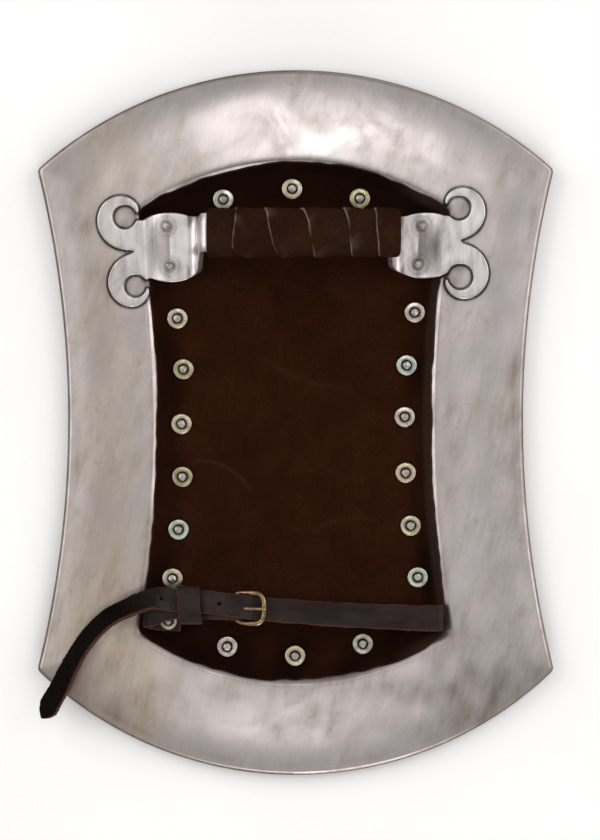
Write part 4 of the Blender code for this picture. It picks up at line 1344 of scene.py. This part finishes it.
class BendPath:
    """The handle's middle surface from mid-grip outwards: bar, riser, floor plate, step and scrolls."""

    foot = 67.4
    lean = math.radians(85)
    lower_bend = 7.5
    upper_bend = 3.0
    step_run = 15.0
    slant = 0.05
    neck_drop = 14.0
    bend_points = 14
    step_points = 26
    foot_index = 2 * bend_points

    def __init__(self, step_outer: float) -> None:
        """Works out the path's points, its length at each of them and its mitred normals.

        Args:
            step_outer: outward distance where the step reaches the flange.
        """
        low, high = LEVELS.handle_floor, LEVELS.grip
        bend = np.linspace(0, self.lean, self.bend_points)
        foot_height = low + self.lower_bend * (1 - math.cos(self.lean))
        head_height = high - self.upper_bend * (1 - math.cos(self.lean))
        head = self.foot - self.lower_bend * math.sin(self.lean)
        head -= (head_height - foot_height) / math.tan(self.lean)
        bar = head - self.upper_bend * math.sin(self.lean)
        share = np.linspace(0, 1, self.step_points)
        climb = 0.55 * share + 0.45 * smoothstep(share)
        out = np.concatenate([[0.0], bar + self.upper_bend * np.sin(bend),
                              self.foot - self.lower_bend * np.sin(bend[::-1]),
                              step_outer - self.step_run * (1 - share), [step_outer + 60]])
        rise = np.concatenate([[high], high - self.upper_bend * (1 - np.cos(bend)),
                               low + self.lower_bend * (1 - np.cos(bend[::-1])),
                               low + (LEVELS.handle_flange - low) * climb, [LEVELS.handle_flange]])
        self.out, self.rise = out, rise
        steps = np.hypot(np.diff(out), np.diff(rise))
        self.length = np.concatenate([[0], np.cumsum(steps)])
        self.neck = self.length[self.bend_points] + self.neck_drop
        self.flat_middle = self.length[self.foot_index:self.foot_index + 2].sum() / 2
        tangent = np.stack([np.diff(out) / steps, np.diff(rise) / steps], axis=1)
        normal = np.c_[-tangent[:, 1], tangent[:, 0]]
        before, after = np.vstack([normal[:1], normal]), np.vstack([normal, normal[-1:]])
        self.normal = (before + after) / (1 + np.sum(before * after, axis=1))[:, None]

    def run_at(self, out: Array) -> Array:
        """Distance along the path of a point of the lying part at the given outward distance."""
        lying = slice(self.foot_index, None)
        return np.interp(out, self.out[lying], self.length[lying])

    def bend(self, run: Array, y: Array, offset: Array) -> tuple[Array, Array]:
        """Outward distance and height of points at a distance along the path and off its middle surface.

        Args:
            run: distances along the path.
            y: places across the handle, which slant the step.
            offset: distances off the middle surface.

        Returns:
            Outward distances and heights.
        """
        shift = np.where(run > self.flat_middle, self.slant * (y - Handle.bar_y), 0.0)
        run = run - shift
        out = np.interp(run, self.length, self.out) + shift
        out = out + offset * np.interp(run, self.length, self.normal[:, 0])
        rise = np.interp(run, self.length, self.rise)
        return out, rise + offset * np.interp(run, self.length, self.normal[:, 1])


def evenly(loop: Array, spacing: float) -> Array:
    """A closed polyline resampled at even steps of about the given length.

    Args:
        loop: the corners of the polyline.
        spacing: the length of a step.

    Returns:
        The new points.
    """
    closed = np.vstack([loop, loop[:1]])
    length = run_along(closed)
    marks = np.linspace(0, length[-1], int(length[-1] / spacing), endpoint=False)
    return np.c_[np.interp(marks, length, closed[:, 0]), np.interp(marks, length, closed[:, 1])]


@dataclass(frozen=True)
class Handle:
    """The steel handle: a flat plan with eased edges, bent along each side's path.

    Args:
        thickness: of the bar in millimetres.
        ease: radius of its eased edges.
        spacing: distance between points along its outline.
        bar_y: height of the bar's middle.
        bar_width: width of the bar.
    """

    thickness: float = 3.0
    ease: float = 0.75
    spacing: float = 0.85
    bar_y: float = 117.0
    bar_width: float = 24.0

    def plan(self, paths: dict[int, BendPath]) -> Array:
        """The whole unbent outline as one evenly spaced anticlockwise loop.

        Args:
            paths: the bend path of each side.

        Returns:
            The loop, with the run along the path in place of outward distance.
        """
        half = self.bar_width / 2
        corners = []
        for end in HANDLE_ENDS:
            outline, path = end.outline(), paths[end.side]
            run = np.concatenate([[path.neck], path.run_at(outline[:, 0]), [path.neck]])
            y = np.concatenate([[self.bar_y + half], outline[:, 1], [self.bar_y - half]])
            rows = np.c_[end.side * run, y]
            corners.append(rows[::-1] if end.side > 0 else rows)
        loop = np.vstack(corners)
        loop = evenly(loop, self.spacing)
        area = np.sum(loop[:, 0] * np.roll(loop[:, 1], -1) - loop[:, 1] * np.roll(loop[:, 0], -1))
        loop = loop if area > 0 else loop[::-1]
        return softened(loop)

    @staticmethod
    def inside(points: Array, loop: Array, clear: float) -> Array:
        """Which points lie inside a loop, at least a distance from it.

        Args:
            points: the places to test.
            loop: a closed outline.
            clear: the least distance from the outline's points.

        Returns:
            True for each point inside.
        """
        after = np.roll(loop, -1, 0)
        px, py = points[:, :1], points[:, 1:]
        crosses = (loop[:, 1] > py) != (after[:, 1] > py)
        climb = after[:, 1] - loop[:, 1]
        slope = (after[:, 0] - loop[:, 0]) / np.where(climb == 0, 1e-9, climb)
        hits = crosses & (px < slope * (py - loop[:, 1]) + loop[:, 0])
        near = np.min((px - loop[:, 0]) ** 2 + (py - loop[:, 1]) ** 2, axis=1)
        return (hits.sum(1) % 2 == 1) & (near > clear ** 2)

    def build(self, finish: Finish) -> bpy.types.Object:
        """Fills the plan with triangles, rounds its edge in rows, and bends every point.

        Args:
            finish: its steel.

        Returns:
            The handle.
        """
        paths = {end.side: BendPath(end.step_outer) for end in HANDLE_ENDS}
        loop = self.plan(paths)
        along = np.roll(loop, -1, 0) - np.roll(loop, 1, 0)
        inward = np.c_[-along[:, 1], along[:, 0]] / np.linalg.norm(along, axis=1)[:, None]
        half, count = self.thickness / 2, len(loop)
        face = loop + inward * self.ease
        low, high = loop.min(0), loop.max(0)
        xs, ys = np.meshgrid(np.arange(low[0], high[0], 0.75), np.arange(low[1], high[1], 1.5))
        fill = np.c_[xs.ravel(), ys.ravel()]
        fill = fill[self.inside(fill, face, 0.9)]
        flat = np.vstack([face, fill])
        corners = [Vector(p) for p in flat.tolist()]
        found = geometry.delaunay_2d_cdt(corners, [], [list(range(count))], 1, 1e-6)
        triangles = np.array([f for f in found[2] if len(f) == 3])
        flat = np.array([tuple(v) for v in found[0]])
        turn = np.linspace(0, math.pi / 2, 6)
        inset = np.concatenate([self.ease * (1 - np.cos(turn[::-1])), self.ease * (1 - np.cos(turn))])[1:-1]
        level = np.concatenate([-half + self.ease * (1 - np.sin(turn[::-1])),
                                half - self.ease * (1 - np.sin(turn))])[1:-1]
        edge = loop + inward * inset[:, None, None]
        total = len(flat)
        plan = np.vstack([flat, flat, edge.reshape(-1, 2)])
        offset = np.concatenate([np.full(total, -half), np.full(total, half), np.repeat(level, count)])
        rows = np.vstack([np.arange(count), 2 * total + np.arange(len(level) * count).reshape(-1, count),
                          total + np.arange(count)])
        beside = np.roll(rows, -1, 1)
        wall = np.stack([rows[:-1], beside[:-1], beside[1:], rows[1:]], axis=-1).reshape(-1, 4)
        points = np.zeros((len(plan), 3))
        for side, path in paths.items():
            mine = plan[:, 0] * side >= 0
            out, rise = path.bend(np.abs(plan[mine, 0]), plan[mine, 1], offset[mine])
            points[mine] = np.c_[side * out, plan[mine, 1], rise]
        x, y, z = points.T
        near = np.min(np.hypot(plan[:, :1] - loop[::3, 0], plan[:, 1:] - loop[::3, 1]), axis=1)
        # painted shade on the lower part of the handle's edge wall, with some dirt
        low_wall = unit(0.4 - offset)
        grime_and_shade = 0.60 * bell(near / 0.9) * (0.8 + 0.2 * Ripple(9, 51).at(x, y)) * low_wall
        for cx, cy in HANDLE_RIVETS.values():
            away = np.hypot(x - cx, y - cy)
            grime_and_shade += 0.75 * bell((away - 3.4) / 1.1) + 0.35 * bell((away - 6.2) / 0.9)
        # dark streaks on the riser and bar: painted reflections of the steep face, with some dirt
        riser = unit((69.5 - np.abs(x)) / 2)
        streaked = Ripple(6, 52).at(y * 0.22, z * 1.1 + np.abs(x) * 1.5) + 0.5 * Ripple(9, 54).at(y, z)
        grime_and_shade += 0.80 * riser * unit(0.30 + streaked)
        grime_and_shade += 0.22 * unit(Ripple(14, 53).at(x * 2.4, y * 0.5) + 0.1)
        marks = {"grime_and_shade": np.clip(grime_and_shade, 0, 0.92), "rim": np.zeros(len(points))}
        shape = Shape(points, [triangles[:, ::-1], triangles + total, wall], marks)
        return add_piece("handle", shape, finish)


@dataclass(frozen=True)
class Grip:
    """Suede strip wound round the bar. Each turn's raw edge stands over the turn before it.

    Args:
        left: its left end in millimetres.
        right: its right end.
        radius: largest radius.
        step: height of each turn's edge.
        seam: knots of the edge's course as degrees turned from the top, over the back's face, and place.
    """

    left: float = -54.5
    right: float = 64.6
    radius: float = 15.5
    step: float = 1.1
    seam: tuple[tuple[float, float], ...] = (
        (-540, -78), (-360, -66), (-180, -56), (0, -36.3), (135, -38.6), (180, -29.2), (360, -19.5),
        (480, -14.0), (540, -8.3), (720, 2.8), (790, 8.3), (900, 12.0), (1080, 29.0), (1150, 32.5),
        (1260, 35.0), (1440, 48.2), (1545, 50.4), (1620, 51.7), (1800, 70.0), (1980, 84.0), (2160, 98.0),
    )

    def build(self, finish: Finish) -> bpy.types.Object:
        """Radius falls from each raw edge to the next one, with soft lumps; both ends are rounded.

        Args:
            finish: its suede.

        Returns:
            The grip.
        """
        reach = np.linspace(self.left, self.right, 360)
        turn = np.linspace(0, 360, 150, endpoint=False)
        x, angle = np.meshgrid(reach, turn, indexing="ij")
        knots = np.array(self.seam)
        courses = np.stack([np.interp(turn + 360 * k, knots[:, 0], knots[:, 1]) for k in range(-1, 6)])
        courses = courses + 0.35 * Ripple(26, 61).at(courses, turn / 4)
        gaps = x[None] - courses[:, None, :]
        before = np.where(gaps >= 0, gaps, np.inf).min(0)
        ahead = np.where(gaps < 0, -gaps, np.inf).min(0)
        before, ahead = np.minimum(before, 60), np.minimum(ahead, 60)
        share = before / (before + ahead)
        rise = smoothstep(before / 0.5) * (1 - share) ** 0.8
        radius = self.radius - self.step + self.step * rise
        radius = radius + 0.22 * Ripple(17, 62).at(x, angle / 4) + 0.10 * Ripple(5, 63).at(x, angle / 4)
        end = np.minimum(x - self.left, self.right - x)
        ease = 2.6
        radius = radius - ease + np.sqrt(np.clip(ease ** 2 - (ease - np.minimum(end, ease)) ** 2, 0, None))
        away = np.radians(90 - angle)
        y = Handle.bar_y + radius * np.sin(away)
        grid = np.stack([x, y, LEVELS.grip + radius * np.cos(away)], axis=-1)
        edge = bell(np.minimum(before, ahead * 3) / 0.42)
        patch = unit(Ripple(15, 64).at(x, angle / 4) - 0.3)
        scuff = 0.16 * patch * np.exp(-before / 3.5)
        worn = edge * (0.55 + 0.30 * Ripple(11, 65).at(x, angle / 4)) + scuff
        marks = {"rubbed_and_sheen": np.clip(worn, 0, 0.75)}
        return add_piece("grip_wrap", Shape.poled(grid, marks), finish)


def smooth_path(points: list[tuple[float, float, float]], step: float) -> Array:
    """A smooth curve through the points (centripetal Catmull-Rom), resampled at even steps.

    Args:
        points: the places that it passes through.
        step: the distance between resampled points.

    Returns:
        The resampled points.
    """
    given = np.array(points)
    padded = np.vstack([2 * given[0] - given[1], given, 2 * given[-1] - given[-2]])
    share = np.linspace(0, 1, 24, endpoint=False)[:, None]
    a, b, c, d = (padded[i:len(padded) - 3 + i, None, :] for i in range(4))
    t1 = np.maximum(np.linalg.norm(b - a, axis=2), 1e-3)[..., None] ** 0.5
    t2 = t1 + np.maximum(np.linalg.norm(c - b, axis=2), 1e-3)[..., None] ** 0.5
    t3 = t2 + np.maximum(np.linalg.norm(d - c, axis=2), 1e-3)[..., None] ** 0.5
    t = t1 + (t2 - t1) * share[None]
    ab = (a * (t1 - t) + b * t) / t1
    bc = (b * (t2 - t) + c * (t - t1)) / (t2 - t1)
    cd = (c * (t3 - t) + d * (t - t2)) / (t3 - t2)
    left = (ab * (t2 - t) + bc * t) / t2
    right = (bc * (t3 - t) + cd * (t - t1)) / (t3 - t1)
    curve = np.vstack([((left * (t2 - t) + right * (t - t1)) / (t2 - t1)).reshape(-1, 3), given[-1]])
    length = run_along(curve)
    marks = np.linspace(0, length[-1], max(8, round(length[-1] / step)) + 1)
    return np.stack([np.interp(marks, length, curve[:, i]) for i in range(3)], axis=1)


@dataclass(frozen=True)
class Strap:
    """A leather strip swept along a path, with a crowned face and raw edges.

    Args:
        name: the piece's name.
        route: the middle line's points in millimetres.
        width: of the strip.
        thickness: of the strip.
        hole_radius: radius of a punched hole.
        step: distance between sections along it.
        seed: picks its frayed edge.
    """

    name: str
    route: tuple[tuple[float, float, float], ...]
    width: float = 14.6
    thickness: float = 2.4
    hole_radius: float = 1.15
    step: float = 0.8
    seed: int = 70

    def section(self) -> tuple[Array, Array, Array]:
        """Places across and off the middle surface round the strip, and which of them are raw edge.

        Returns:
            Places across, places off, and shares of raw edge.
        """
        w, h, r = self.width / 2, self.thickness / 2, 0.55
        corner = np.linspace(0, math.pi / 2, 5)
        face = np.linspace(-w + r, w - r, 34)[1:-1]
        side = np.linspace(-h + r, h - r, 5)[1:-1]
        ease_in, ease_out = r * np.sin(corner), r * np.cos(corner)
        flat, upright = np.full(len(face), h), np.full(len(side), w)
        u = np.concatenate([face, w - r + ease_in, upright, w - r + ease_out,
                            face[::-1], -w + r - ease_in, -upright, -w + r - ease_out])
        v = np.concatenate([flat, h - r + ease_out, side[::-1], -h + r - ease_in,
                            -flat, -h + r - ease_out, side, h - r + ease_in])
        raw = unit((np.abs(u) - (w - 0.72)) / 0.35)
        return u, v, raw

    def frames(self, path: Array, tilt: Array) -> tuple[Array, Array]:
        """Unit vectors across and off the strip, tilted from level so that +Y's side dips.

        Args:
            path: the middle line.
            tilt: the tilt in radians at each point.

        Returns:
            The two unit vectors at each point.
        """
        along = np.gradient(path, axis=0)
        along /= np.linalg.norm(along, axis=1)[:, None]
        across = np.array([0.0, 1.0, 0.0]) - along[:, 1:2] * along
        across /= np.linalg.norm(across, axis=1)[:, None]
        tilt = np.where(tilt > 0, tilt + np.arcsin(across[:, 2]), 0)
        off = np.cross(across, along)
        turned = across * np.cos(tilt)[:, None] - off * np.sin(tilt)[:, None]
        return turned, np.cross(turned, along)

    def build(self, finish: Finish, tilt: Array | None = None, share: Array | None = None,
              holes: Array | None = None, free: float | None = None) -> bpy.types.Object:
        """Sweeps the section. Holes are pressed in from both faces; raw edges are frayed.

        Args:
            finish: its leather.
            tilt: distances along it and its tilt there in radians.
            share: distances back from its end and its share of the full width there.
            holes: how far along it the punched holes lie.
            free: how far along it the darkened free end begins.

        Returns:
            The strap.
        """
        path = smooth_path(list(self.route), self.step)
        run = run_along(path)
        tilt = np.zeros(len(path)) if tilt is None else np.interp(run, *tilt)
        across, off = self.frames(path, tilt)
        u, v, raw = self.section()
        width = np.ones(len(path)) if share is None else np.interp(run[-1] - run, *share)
        uu, rr = u[None] * width[:, None], run[:, None]
        vv = np.broadcast_to(v, uu.shape).copy()
        vv += 0.16 * (1 - (u / (self.width / 2)) ** 2) * np.sign(v) * 0.5
        fray = Ripple(2.2, self.seed).at(uu * 3 + vv * 2, rr + 0 * uu)
        wave = Ripple(16, self.seed + 1).at(0 * uu + np.sign(uu) * 9, rr + 0 * uu)
        torn = 1.0 if free is None else 1 + 0.9 * smoothstep((rr - free) / 30)
        uu = uu + raw * (0.22 * fray * torn + 0.20 * wave) * np.sign(u)
        vv = vv * (1 - 0.10 * raw * fray)
        pressed = np.zeros_like(uu)
        for mark in (() if holes is None else holes):
            away = np.hypot(rr - mark, uu)
            pressed = np.maximum(pressed, smoothstep((self.hole_radius + 0.25 - away) / 0.6))
        vv = vv * (1 - 0.70 * pressed)
        grid = path[:, None] + across[:, None] * uu[..., None] + off[:, None] * vv[..., None]
        caps = []
        for end, beyond in ((0, 1), (-1, -2)):
            heart = grid[end].mean(0)
            ahead = path[end] - path[beyond]
            caps.append(heart + (grid[end] - heart) * 0.8 + 0.3 * ahead / np.linalg.norm(ahead))
        grid = np.concatenate([caps[0][None], grid, caps[1][None]])
        raw_grid = np.broadcast_to(raw, uu.shape).copy()
        raw_grid[:2], raw_grid[-2:] = 1.0, 1.0
        # the pressed holes are painted near-black as their shade
        dark = pressed
        if free is not None:
            dark = np.maximum(pressed, 0.90 * smoothstep((rr - free) / 45) * (1 - raw))
        lower = unit((-u - (self.width / 2 - 1.5)) / 0.7) * unit(0.55 + 0.6 * fray)
        raw_grid = np.maximum(raw_grid, lower * (np.broadcast_to(torn, rr.shape) - 1))
        raw_grid = raw_grid * np.where(u > 0, 0.35, 1.0)
        marks = {"raw": np.pad(raw_grid, ((1, 1), (0, 0)), mode="edge"),
                 "hole": np.pad(dark, ((1, 1), (0, 0)), mode="edge")}
        return add_piece(self.name, Shape.poled(grid, marks), finish)


@dataclass(frozen=True)
class StrapWork:
    """The two-part arm strap, its keeper and its buckle.

    Args:
        buckle: place of the buckle's bar in millimetres.
        length: of the buckle's frame.
        half_width: of the buckle's frame.
        tilt: of the buckle in degrees.
        wire: radius of the frame's wire.
        prong_wire: radius of the prong.
        keeper_x: the keeper's left and right edges.
        keeper_y: the keeper's middle.
        keeper_half: half the keeper's inner width.
        keeper_thickness: of the keeper's leather.
        first_hole_x: place of the hole next to the buckle.
        hole_spacing: distance from hole to hole along the strap.
        holes: how many holes are punched.
        fold: the folds' course as millimetres outwards and shares of the climb.
    """

    buckle: tuple[float, float] = (-37.5, -116.0)
    length: float = 18.5
    half_width: float = 9.6
    tilt: float = 15.0
    wire: float = 1.3
    prong_wire: float = 1.1
    keeper_x: tuple[float, float] = (-73.7, -59.3)
    keeper_y: float = -114.4
    keeper_half: float = 10.5
    keeper_thickness: float = 1.8
    first_hole_x: float = -47.6
    hole_spacing: float = 19.0
    holes: int = 7
    fold: tuple[tuple[float, float], ...] = (
        (-7.2, 0.06), (-4.6, 0.25), (-1.9, 0.48), (0.0, 0.68), (-0.2, 0.84), (-1.7, 0.96), (-4.1, 1.0),
    )

    def _fold(self, edge: float, side: int, y_low: float, y_high: float) -> list[tuple[float, float, float]]:
        """A fold's points from the riveted layer up to the layer over it.

        Args:
            edge: where the fold's outer face stands.
            side: 1 for the right fold and -1 for the left one.
            y_low: its place upwards at the riveted layer.
            y_high: its place upwards at the upper layer.

        Returns:
            The points in order.
        """
        climb = y_high - y_low
        return [(edge + side * out, y_low + climb * share, LEVELS.under + LEVELS.loop_rise * share)
                for out, share in self.fold]

    def long_route(self) -> list[tuple[float, float, float]]:
        """Riveted end, right fold, arch, buckle, keeper and free tail.

        Returns:
            The points in order.
        """
        bar, tail = LEVELS.buckle_bar, LEVELS.tail
        dip = bar + 0.7 * self.length * math.sin(math.radians(self.tilt)) - self.wire - LEVELS.gap - 1.2
        over = bar + self.wire + 2.4 + 2 * LEVELS.gap + 1.2
        rows = [
            (76.0, -122.7, dip - 6.9), (60.0, -121.9, dip - 4.6), (40.0, -120.9, dip - 2.2),
            (20.0, -119.7, dip - 0.9), (0.0, -118.2, dip - 0.2),
            (-21.0, -116.5, dip), (-27.0, -115.8, dip + 1.2),
            (-33.0, -115.0, over - 1.2), (-37.5, -114.3, over), (-42.0, -113.7, over - 1.2),
            (-50.0, -112.8, tail + 3.3), (-59.0, -112.1, tail + 0.3), (-66.0, -111.9, tail),
            (-74.0, -111.5, tail + 0.2), (-82.0, -110.4, tail + 1.7), (-89.7, -110.3, tail + 4.0),
            (-99.4, -113.3, tail + 6.0), (-113.0, -119.5, tail + 7.5), (-122.0, -126.2, tail + 7.4),
            (-128.3, -133.0, tail + 6.4), (-133.5, -139.9, tail + 4.9), (-138.8, -148.7, tail + 2.9),
            (-143.9, -158.3, tail + 0.7), (-148.8, -168.0, tail - 1.6), (-153.1, -175.5, tail - 3.3),
            (-159.1, -185.5, tail - 5.5),
        ]
        start = [(69.5, -123.4, LEVELS.under), (82.5, -123.2, LEVELS.under)]
        return start + self._fold(91.8, 1, -123.0, -123.0) + rows

    def short_route(self) -> list[tuple[float, float, float]]:
        """Riveted end, left fold, upper layer, turn round the buckle's bar and lower end.

        Returns:
            The points in order.
        """
        bar, loop, (x, y) = LEVELS.buckle_bar, LEVELS.loop, self.buckle
        turn = self.wire + LEVELS.gap + 1.2
        rows = [(-72.5, -124.6, LEVELS.under), (-85.5, -124.0, LEVELS.under)]
        rows += self._fold(-94.4, -1, -123.6, -120.6)
        rows += [
            (-83.0, -117.2, loop), (-75.0, -115.9, loop), (-66.0, -116.4, loop),
            (-59.0, -116.2, loop + 0.2), (-50.0, y, loop + 3.3), (-43.0, y, bar + turn - 1.5),
        ]
        angles = np.radians((90, 45, 0, -45, -90))
        rows += [(x + turn * math.cos(a), y, bar + turn * math.sin(a)) for a in angles]
        return rows + [(-44.0, y, bar - turn - 1.4), (-49.0, y, loop - 0.3), (-54.0, y, loop - 2.6)]

    def straps(self, finish: Finish) -> None:
        """Both straps with their holes, the tail's twist and its tapered tip.

        Args:
            finish: their leather.
        """
        route = self.long_route()
        path = smooth_path(route, 0.8)
        run = run_along(path)
        keeper = run[np.argmin(np.abs(path[:, 0] - self.keeper_x[0]))]
        free = run[-1] - keeper
        twist_at = keeper + free * np.array([0, 0.14, 0.3, 0.62, 0.85, 1])
        twist = (twist_at, np.radians([0, 36, 45, 45, 32, 28]))
        first = run[np.argmin(np.abs(path[:, 0] - self.first_hole_x))]
        holes = first + self.hole_spacing * np.arange(self.holes)
        width = (np.array([0.0, 1.0, 3.5, 7.0, 9.0, run[-1] - 135, run[-1] - 40, run[-1]]),
                 np.array([0.10, 0.30, 0.66, 0.96, 1.0, 1.0, 1.09, 1.09]))
        Strap("arm_strap", tuple(route)).build(finish, twist, width, holes, keeper)
        Strap("buckle_strap", tuple(self.short_route()), seed=80).build(finish)

    def keeper(self, finish: Finish) -> None:
        """A band bent round both straps: a squarish ring swept with a flat section.

        Args:
            finish: its leather.
        """
        low = LEVELS.loop - 1.2 - LEVELS.gap
        high = LEVELS.tail + 1.2 + 3 * LEVELS.gap
        turn = np.linspace(0, 2 * math.pi, 180, endpoint=False)
        half, rise = self.keeper_half + 0.9, (high - low) / 2 + 0.9
        square = 2 / 5.5
        y = half * squared(np.cos(turn), square)
        z = rise * squared(np.sin(turn), square)
        out_y, out_z = np.gradient(z), -np.gradient(y)
        size = np.hypot(out_y, out_z)
        out_y, out_z = out_y / size, out_z / size
        around = np.linspace(0, 2 * math.pi, 44, endpoint=False)
        width = (self.keeper_x[1] - self.keeper_x[0]) / 2
        u = width * squared(np.cos(around), 0.3)
        v = self.keeper_thickness / 2 * squared(np.sin(around), 0.45)
        raw = unit((np.abs(u) - (width - 0.5)) / 0.3)
        fray = Ripple(2.4, 91).at(turn[:, None] * 12 + 0 * u, np.sign(u) * 5 + 0 * turn[:, None])
        uu = u[None] + 0.25 * raw * fray * np.sign(u)
        middle = (self.keeper_x[0] + self.keeper_x[1]) / 2
        skew = -0.9 * (y / half)[:, None]
        grid = np.stack([middle + uu + skew, self.keeper_y + y[:, None] + out_y[:, None] * v,
                         (low + high) / 2 + z[:, None] + out_z[:, None] * v], axis=-1)
        marks = {"raw": np.broadcast_to(raw * np.where(u < 0, 1.0, 0.3), uu.shape), "hole": np.zeros(1)}
        add_piece("keeper_loop", Shape.ring(grid, marks), finish)

    def hardware(self, finish: Finish) -> None:
        """The frame as a bent wire, flatter at its rounded end, and the prong as a tapered pin.

        Args:
            finish: its brass.
        """
        place = Matrix.Translation((*self.buckle, LEVELS.buckle_bar)) @ Matrix.Rotation(
            -math.radians(self.tilt), 4, "Y")
        turned, moved = np.array(place.to_3x3()), np.array(place.translation)
        half, length = self.half_width, self.length
        bend = np.radians(np.linspace(-80, 80, 60))
        x = length * (0.62 + 0.38 * np.abs(np.cos(bend)) ** 0.7)
        y = half * squared(np.sin(bend), 0.7)
        outline = np.vstack([np.c_[np.zeros(12), np.linspace(half, -half, 13)[:-1]],
                             [(length * 0.15, -half), (length * 0.35, -half * 1.02)], np.c_[x, y],
                             [(length * 0.35, half * 1.02), (length * 0.15, half)]])
        outline = np.c_[outline, np.zeros(len(outline))]
        for _ in range(2):
            outline = softened(outline)
        along = np.roll(outline, -1, 0) - np.roll(outline, 1, 0)
        along /= np.linalg.norm(along, axis=1)[:, None]
        up = np.array([0.0, 0.0, 1.0])
        side = np.cross(up, along)
        turn = np.linspace(0, 2 * math.pi, 20, endpoint=False)
        thick = np.where(outline[:, 0] > length * 0.5, 1.12, 0.95)[:, None]
        grid = outline[:, None] + side[:, None] * (self.wire * thick * np.cos(turn))[..., None]
        grid = grid + up * (self.wire * np.sin(turn))[None, :, None] * 0.95
        add_piece("buckle_frame", Shape.ring(grid @ turned.T + moved), finish)
        eye = self.wire + LEVELS.gap + self.prong_wire
        angle = np.radians(np.linspace(330, 90, 26))
        path = np.vstack([np.c_[eye * np.cos(angle), np.zeros(26), eye * np.sin(angle)],
                          np.c_[length * np.linspace(0.08, 1.12, 22), np.zeros(22), np.full(22, eye)]])
        along = np.gradient(path, axis=0)
        along /= np.linalg.norm(along, axis=1)[:, None]
        side = np.array([0.0, 1.0, 0.0])
        off = np.cross(along, side)
        taper = np.interp(np.arange(len(path)), [0, 1, 30, 45, 46, 47], [0.6, 1, 1, 0.8, 0.62, 0.25])
        radius = self.prong_wire * taper
        grid = path[:, None] + side * (radius[:, None] * np.cos(turn))[..., None]
        grid = grid + off[:, None] * (radius[:, None] * np.sin(turn))[..., None]
        add_piece("buckle_prong", Shape.poled(grid @ turned.T + moved), finish)

    def build(self, leather: Finish, brass: Finish) -> None:
        """Everything of the arm strap.

        Args:
            leather: for the straps and the keeper.
            brass: for the buckle.
        """
        self.straps(leather)
        self.keeper(leather)
        self.hardware(brass)


@dataclass(frozen=True)
class Lamp:
    """One soft rectangular light aimed at the shield."""

    name: str
    place: tuple[float, float, float]
    size: tuple[float, float]
    power: float
    colour: tuple[float, float, float] = (1.0, 0.99, 0.98)

    def build(self) -> None:
        """Adds the light."""
        data = bpy.data.lights.new(self.name, "AREA")
        data.shape = "RECTANGLE"
        data.size, data.size_y = self.size
        data.energy = self.power
        data.color = self.colour
        lamp = bpy.data.objects.new(self.name, data)
        lamp.location = self.place
        lamp.rotation_euler = (-Vector(self.place)).to_track_quat("-Z", "Y").to_euler()
        bpy.context.scene.collection.objects.link(lamp)


@dataclass(frozen=True)
class Studio:
    """Pale floor, soft lights and the camera that looks straight down.

    Args:
        height: camera height over the floor in metres.
        centre: where it looks.
        frame_height: height of the view on the shield's back in metres.
        plane: height over the floor where that view is measured.
        world: strength of the even light all round.
        lamps: the soft lights.
    """

    height: float = 1.55
    centre: tuple[float, float] = (0.0028, 0.0016)
    frame_height: float = 0.5292
    plane: float = 0.012
    world: float = 0.435
    lamps: tuple[Lamp, ...] = (
        Lamp("window", (0.035, 0.43, 1.50), (0.20, 0.34), 1.5),
        Lamp("lower_window", (0.0, -0.44, 1.50), (0.30, 0.30), 0.78),
        Lamp("left_strip", (-0.72, 0.0, 1.45), (0.9, 0.14), 0.62),
        Lamp("right_strip", (0.72, 0.05, 1.45), (0.9, 0.14), 0.62),
        Lamp("left_low", (-1.75, 0.7, 1.15), (2.2, 1.3), 23.5),
        Lamp("right_low", (1.80, 0.7, 1.15), (2.2, 1.3), 23.5),
        Lamp("front_low", (0.2, -2.1, 0.95), (1.4, 0.8), 18.0),
    )

    def build(self) -> None:
        """Adds floor, world, lights and camera."""
        side = 6.0
        mesh = bpy.data.meshes.new("floor")
        mesh.from_pydata([(x * side, y * side, 0.0) for x, y in ((-1, -1), (1, -1), (1, 1), (-1, 1))], [],
                         [(0, 1, 2, 3)])
        mesh.materials.append(PaleFloor("pale_floor").material())
        floor = bpy.data.objects.new("floor", mesh)
        bpy.context.scene.collection.objects.link(floor)
        world = bpy.data.worlds.new("studio")
        world.use_nodes = True
        world.node_tree.nodes["Background"].inputs["Color"].default_value = (1.0, 0.995, 0.99, 1.0)
        world.node_tree.nodes["Background"].inputs["Strength"].default_value = self.world
        bpy.context.scene.world = world
        bpy.context.scene.view_settings.view_transform = "Standard"
        for lamp in self.lamps:
            lamp.build()
        data = bpy.data.cameras.new("camera")
        data.sensor_width = 36.0
        data.lens = 36.0 * (self.height - self.plane) / self.frame_height
        camera = bpy.data.objects.new("camera", data)
        camera.location = (*self.centre, self.height)
        bpy.context.scene.collection.objects.link(camera)
        bpy.context.scene.camera = camera


def main() -> None:
    """Builds every piece, then the studio."""
    logging.basicConfig(level=logging.INFO, format="%(message)s")
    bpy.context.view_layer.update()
    steel = WornSteel("worn_steel")
    handle_steel = WornSteel("filed_steel", (0.65, 0.61, 0.612), (0.36, 0.32, 0.31), 0.30, 92.0, 0.015, 0.5)
    rivet_steel = WornSteel("hammered_steel", (0.52, 0.48, 0.46), (0.38, 0.34, 0.32), 0.30, 20.0, 0.02)
    leather = StrapLeather("waxed_leather")
    ShieldPlate().build(steel)
    Lining().build(Suede("lining_suede"))
    log.info("%d rivets and washers", Hardware().build(rivet_steel))
    Handle().build(handle_steel)
    wound = Suede("wound_suede", (0.0145, 0.0058, 0.0030), (0.036, 0.0148, 0.0076), (0.30, 0.24, 0.19))
    Grip().build(wound)
    StrapWork().build(leather, TarnishedBrass("old_brass"))
    Studio().build()


if __name__ == "__main__":
    main()
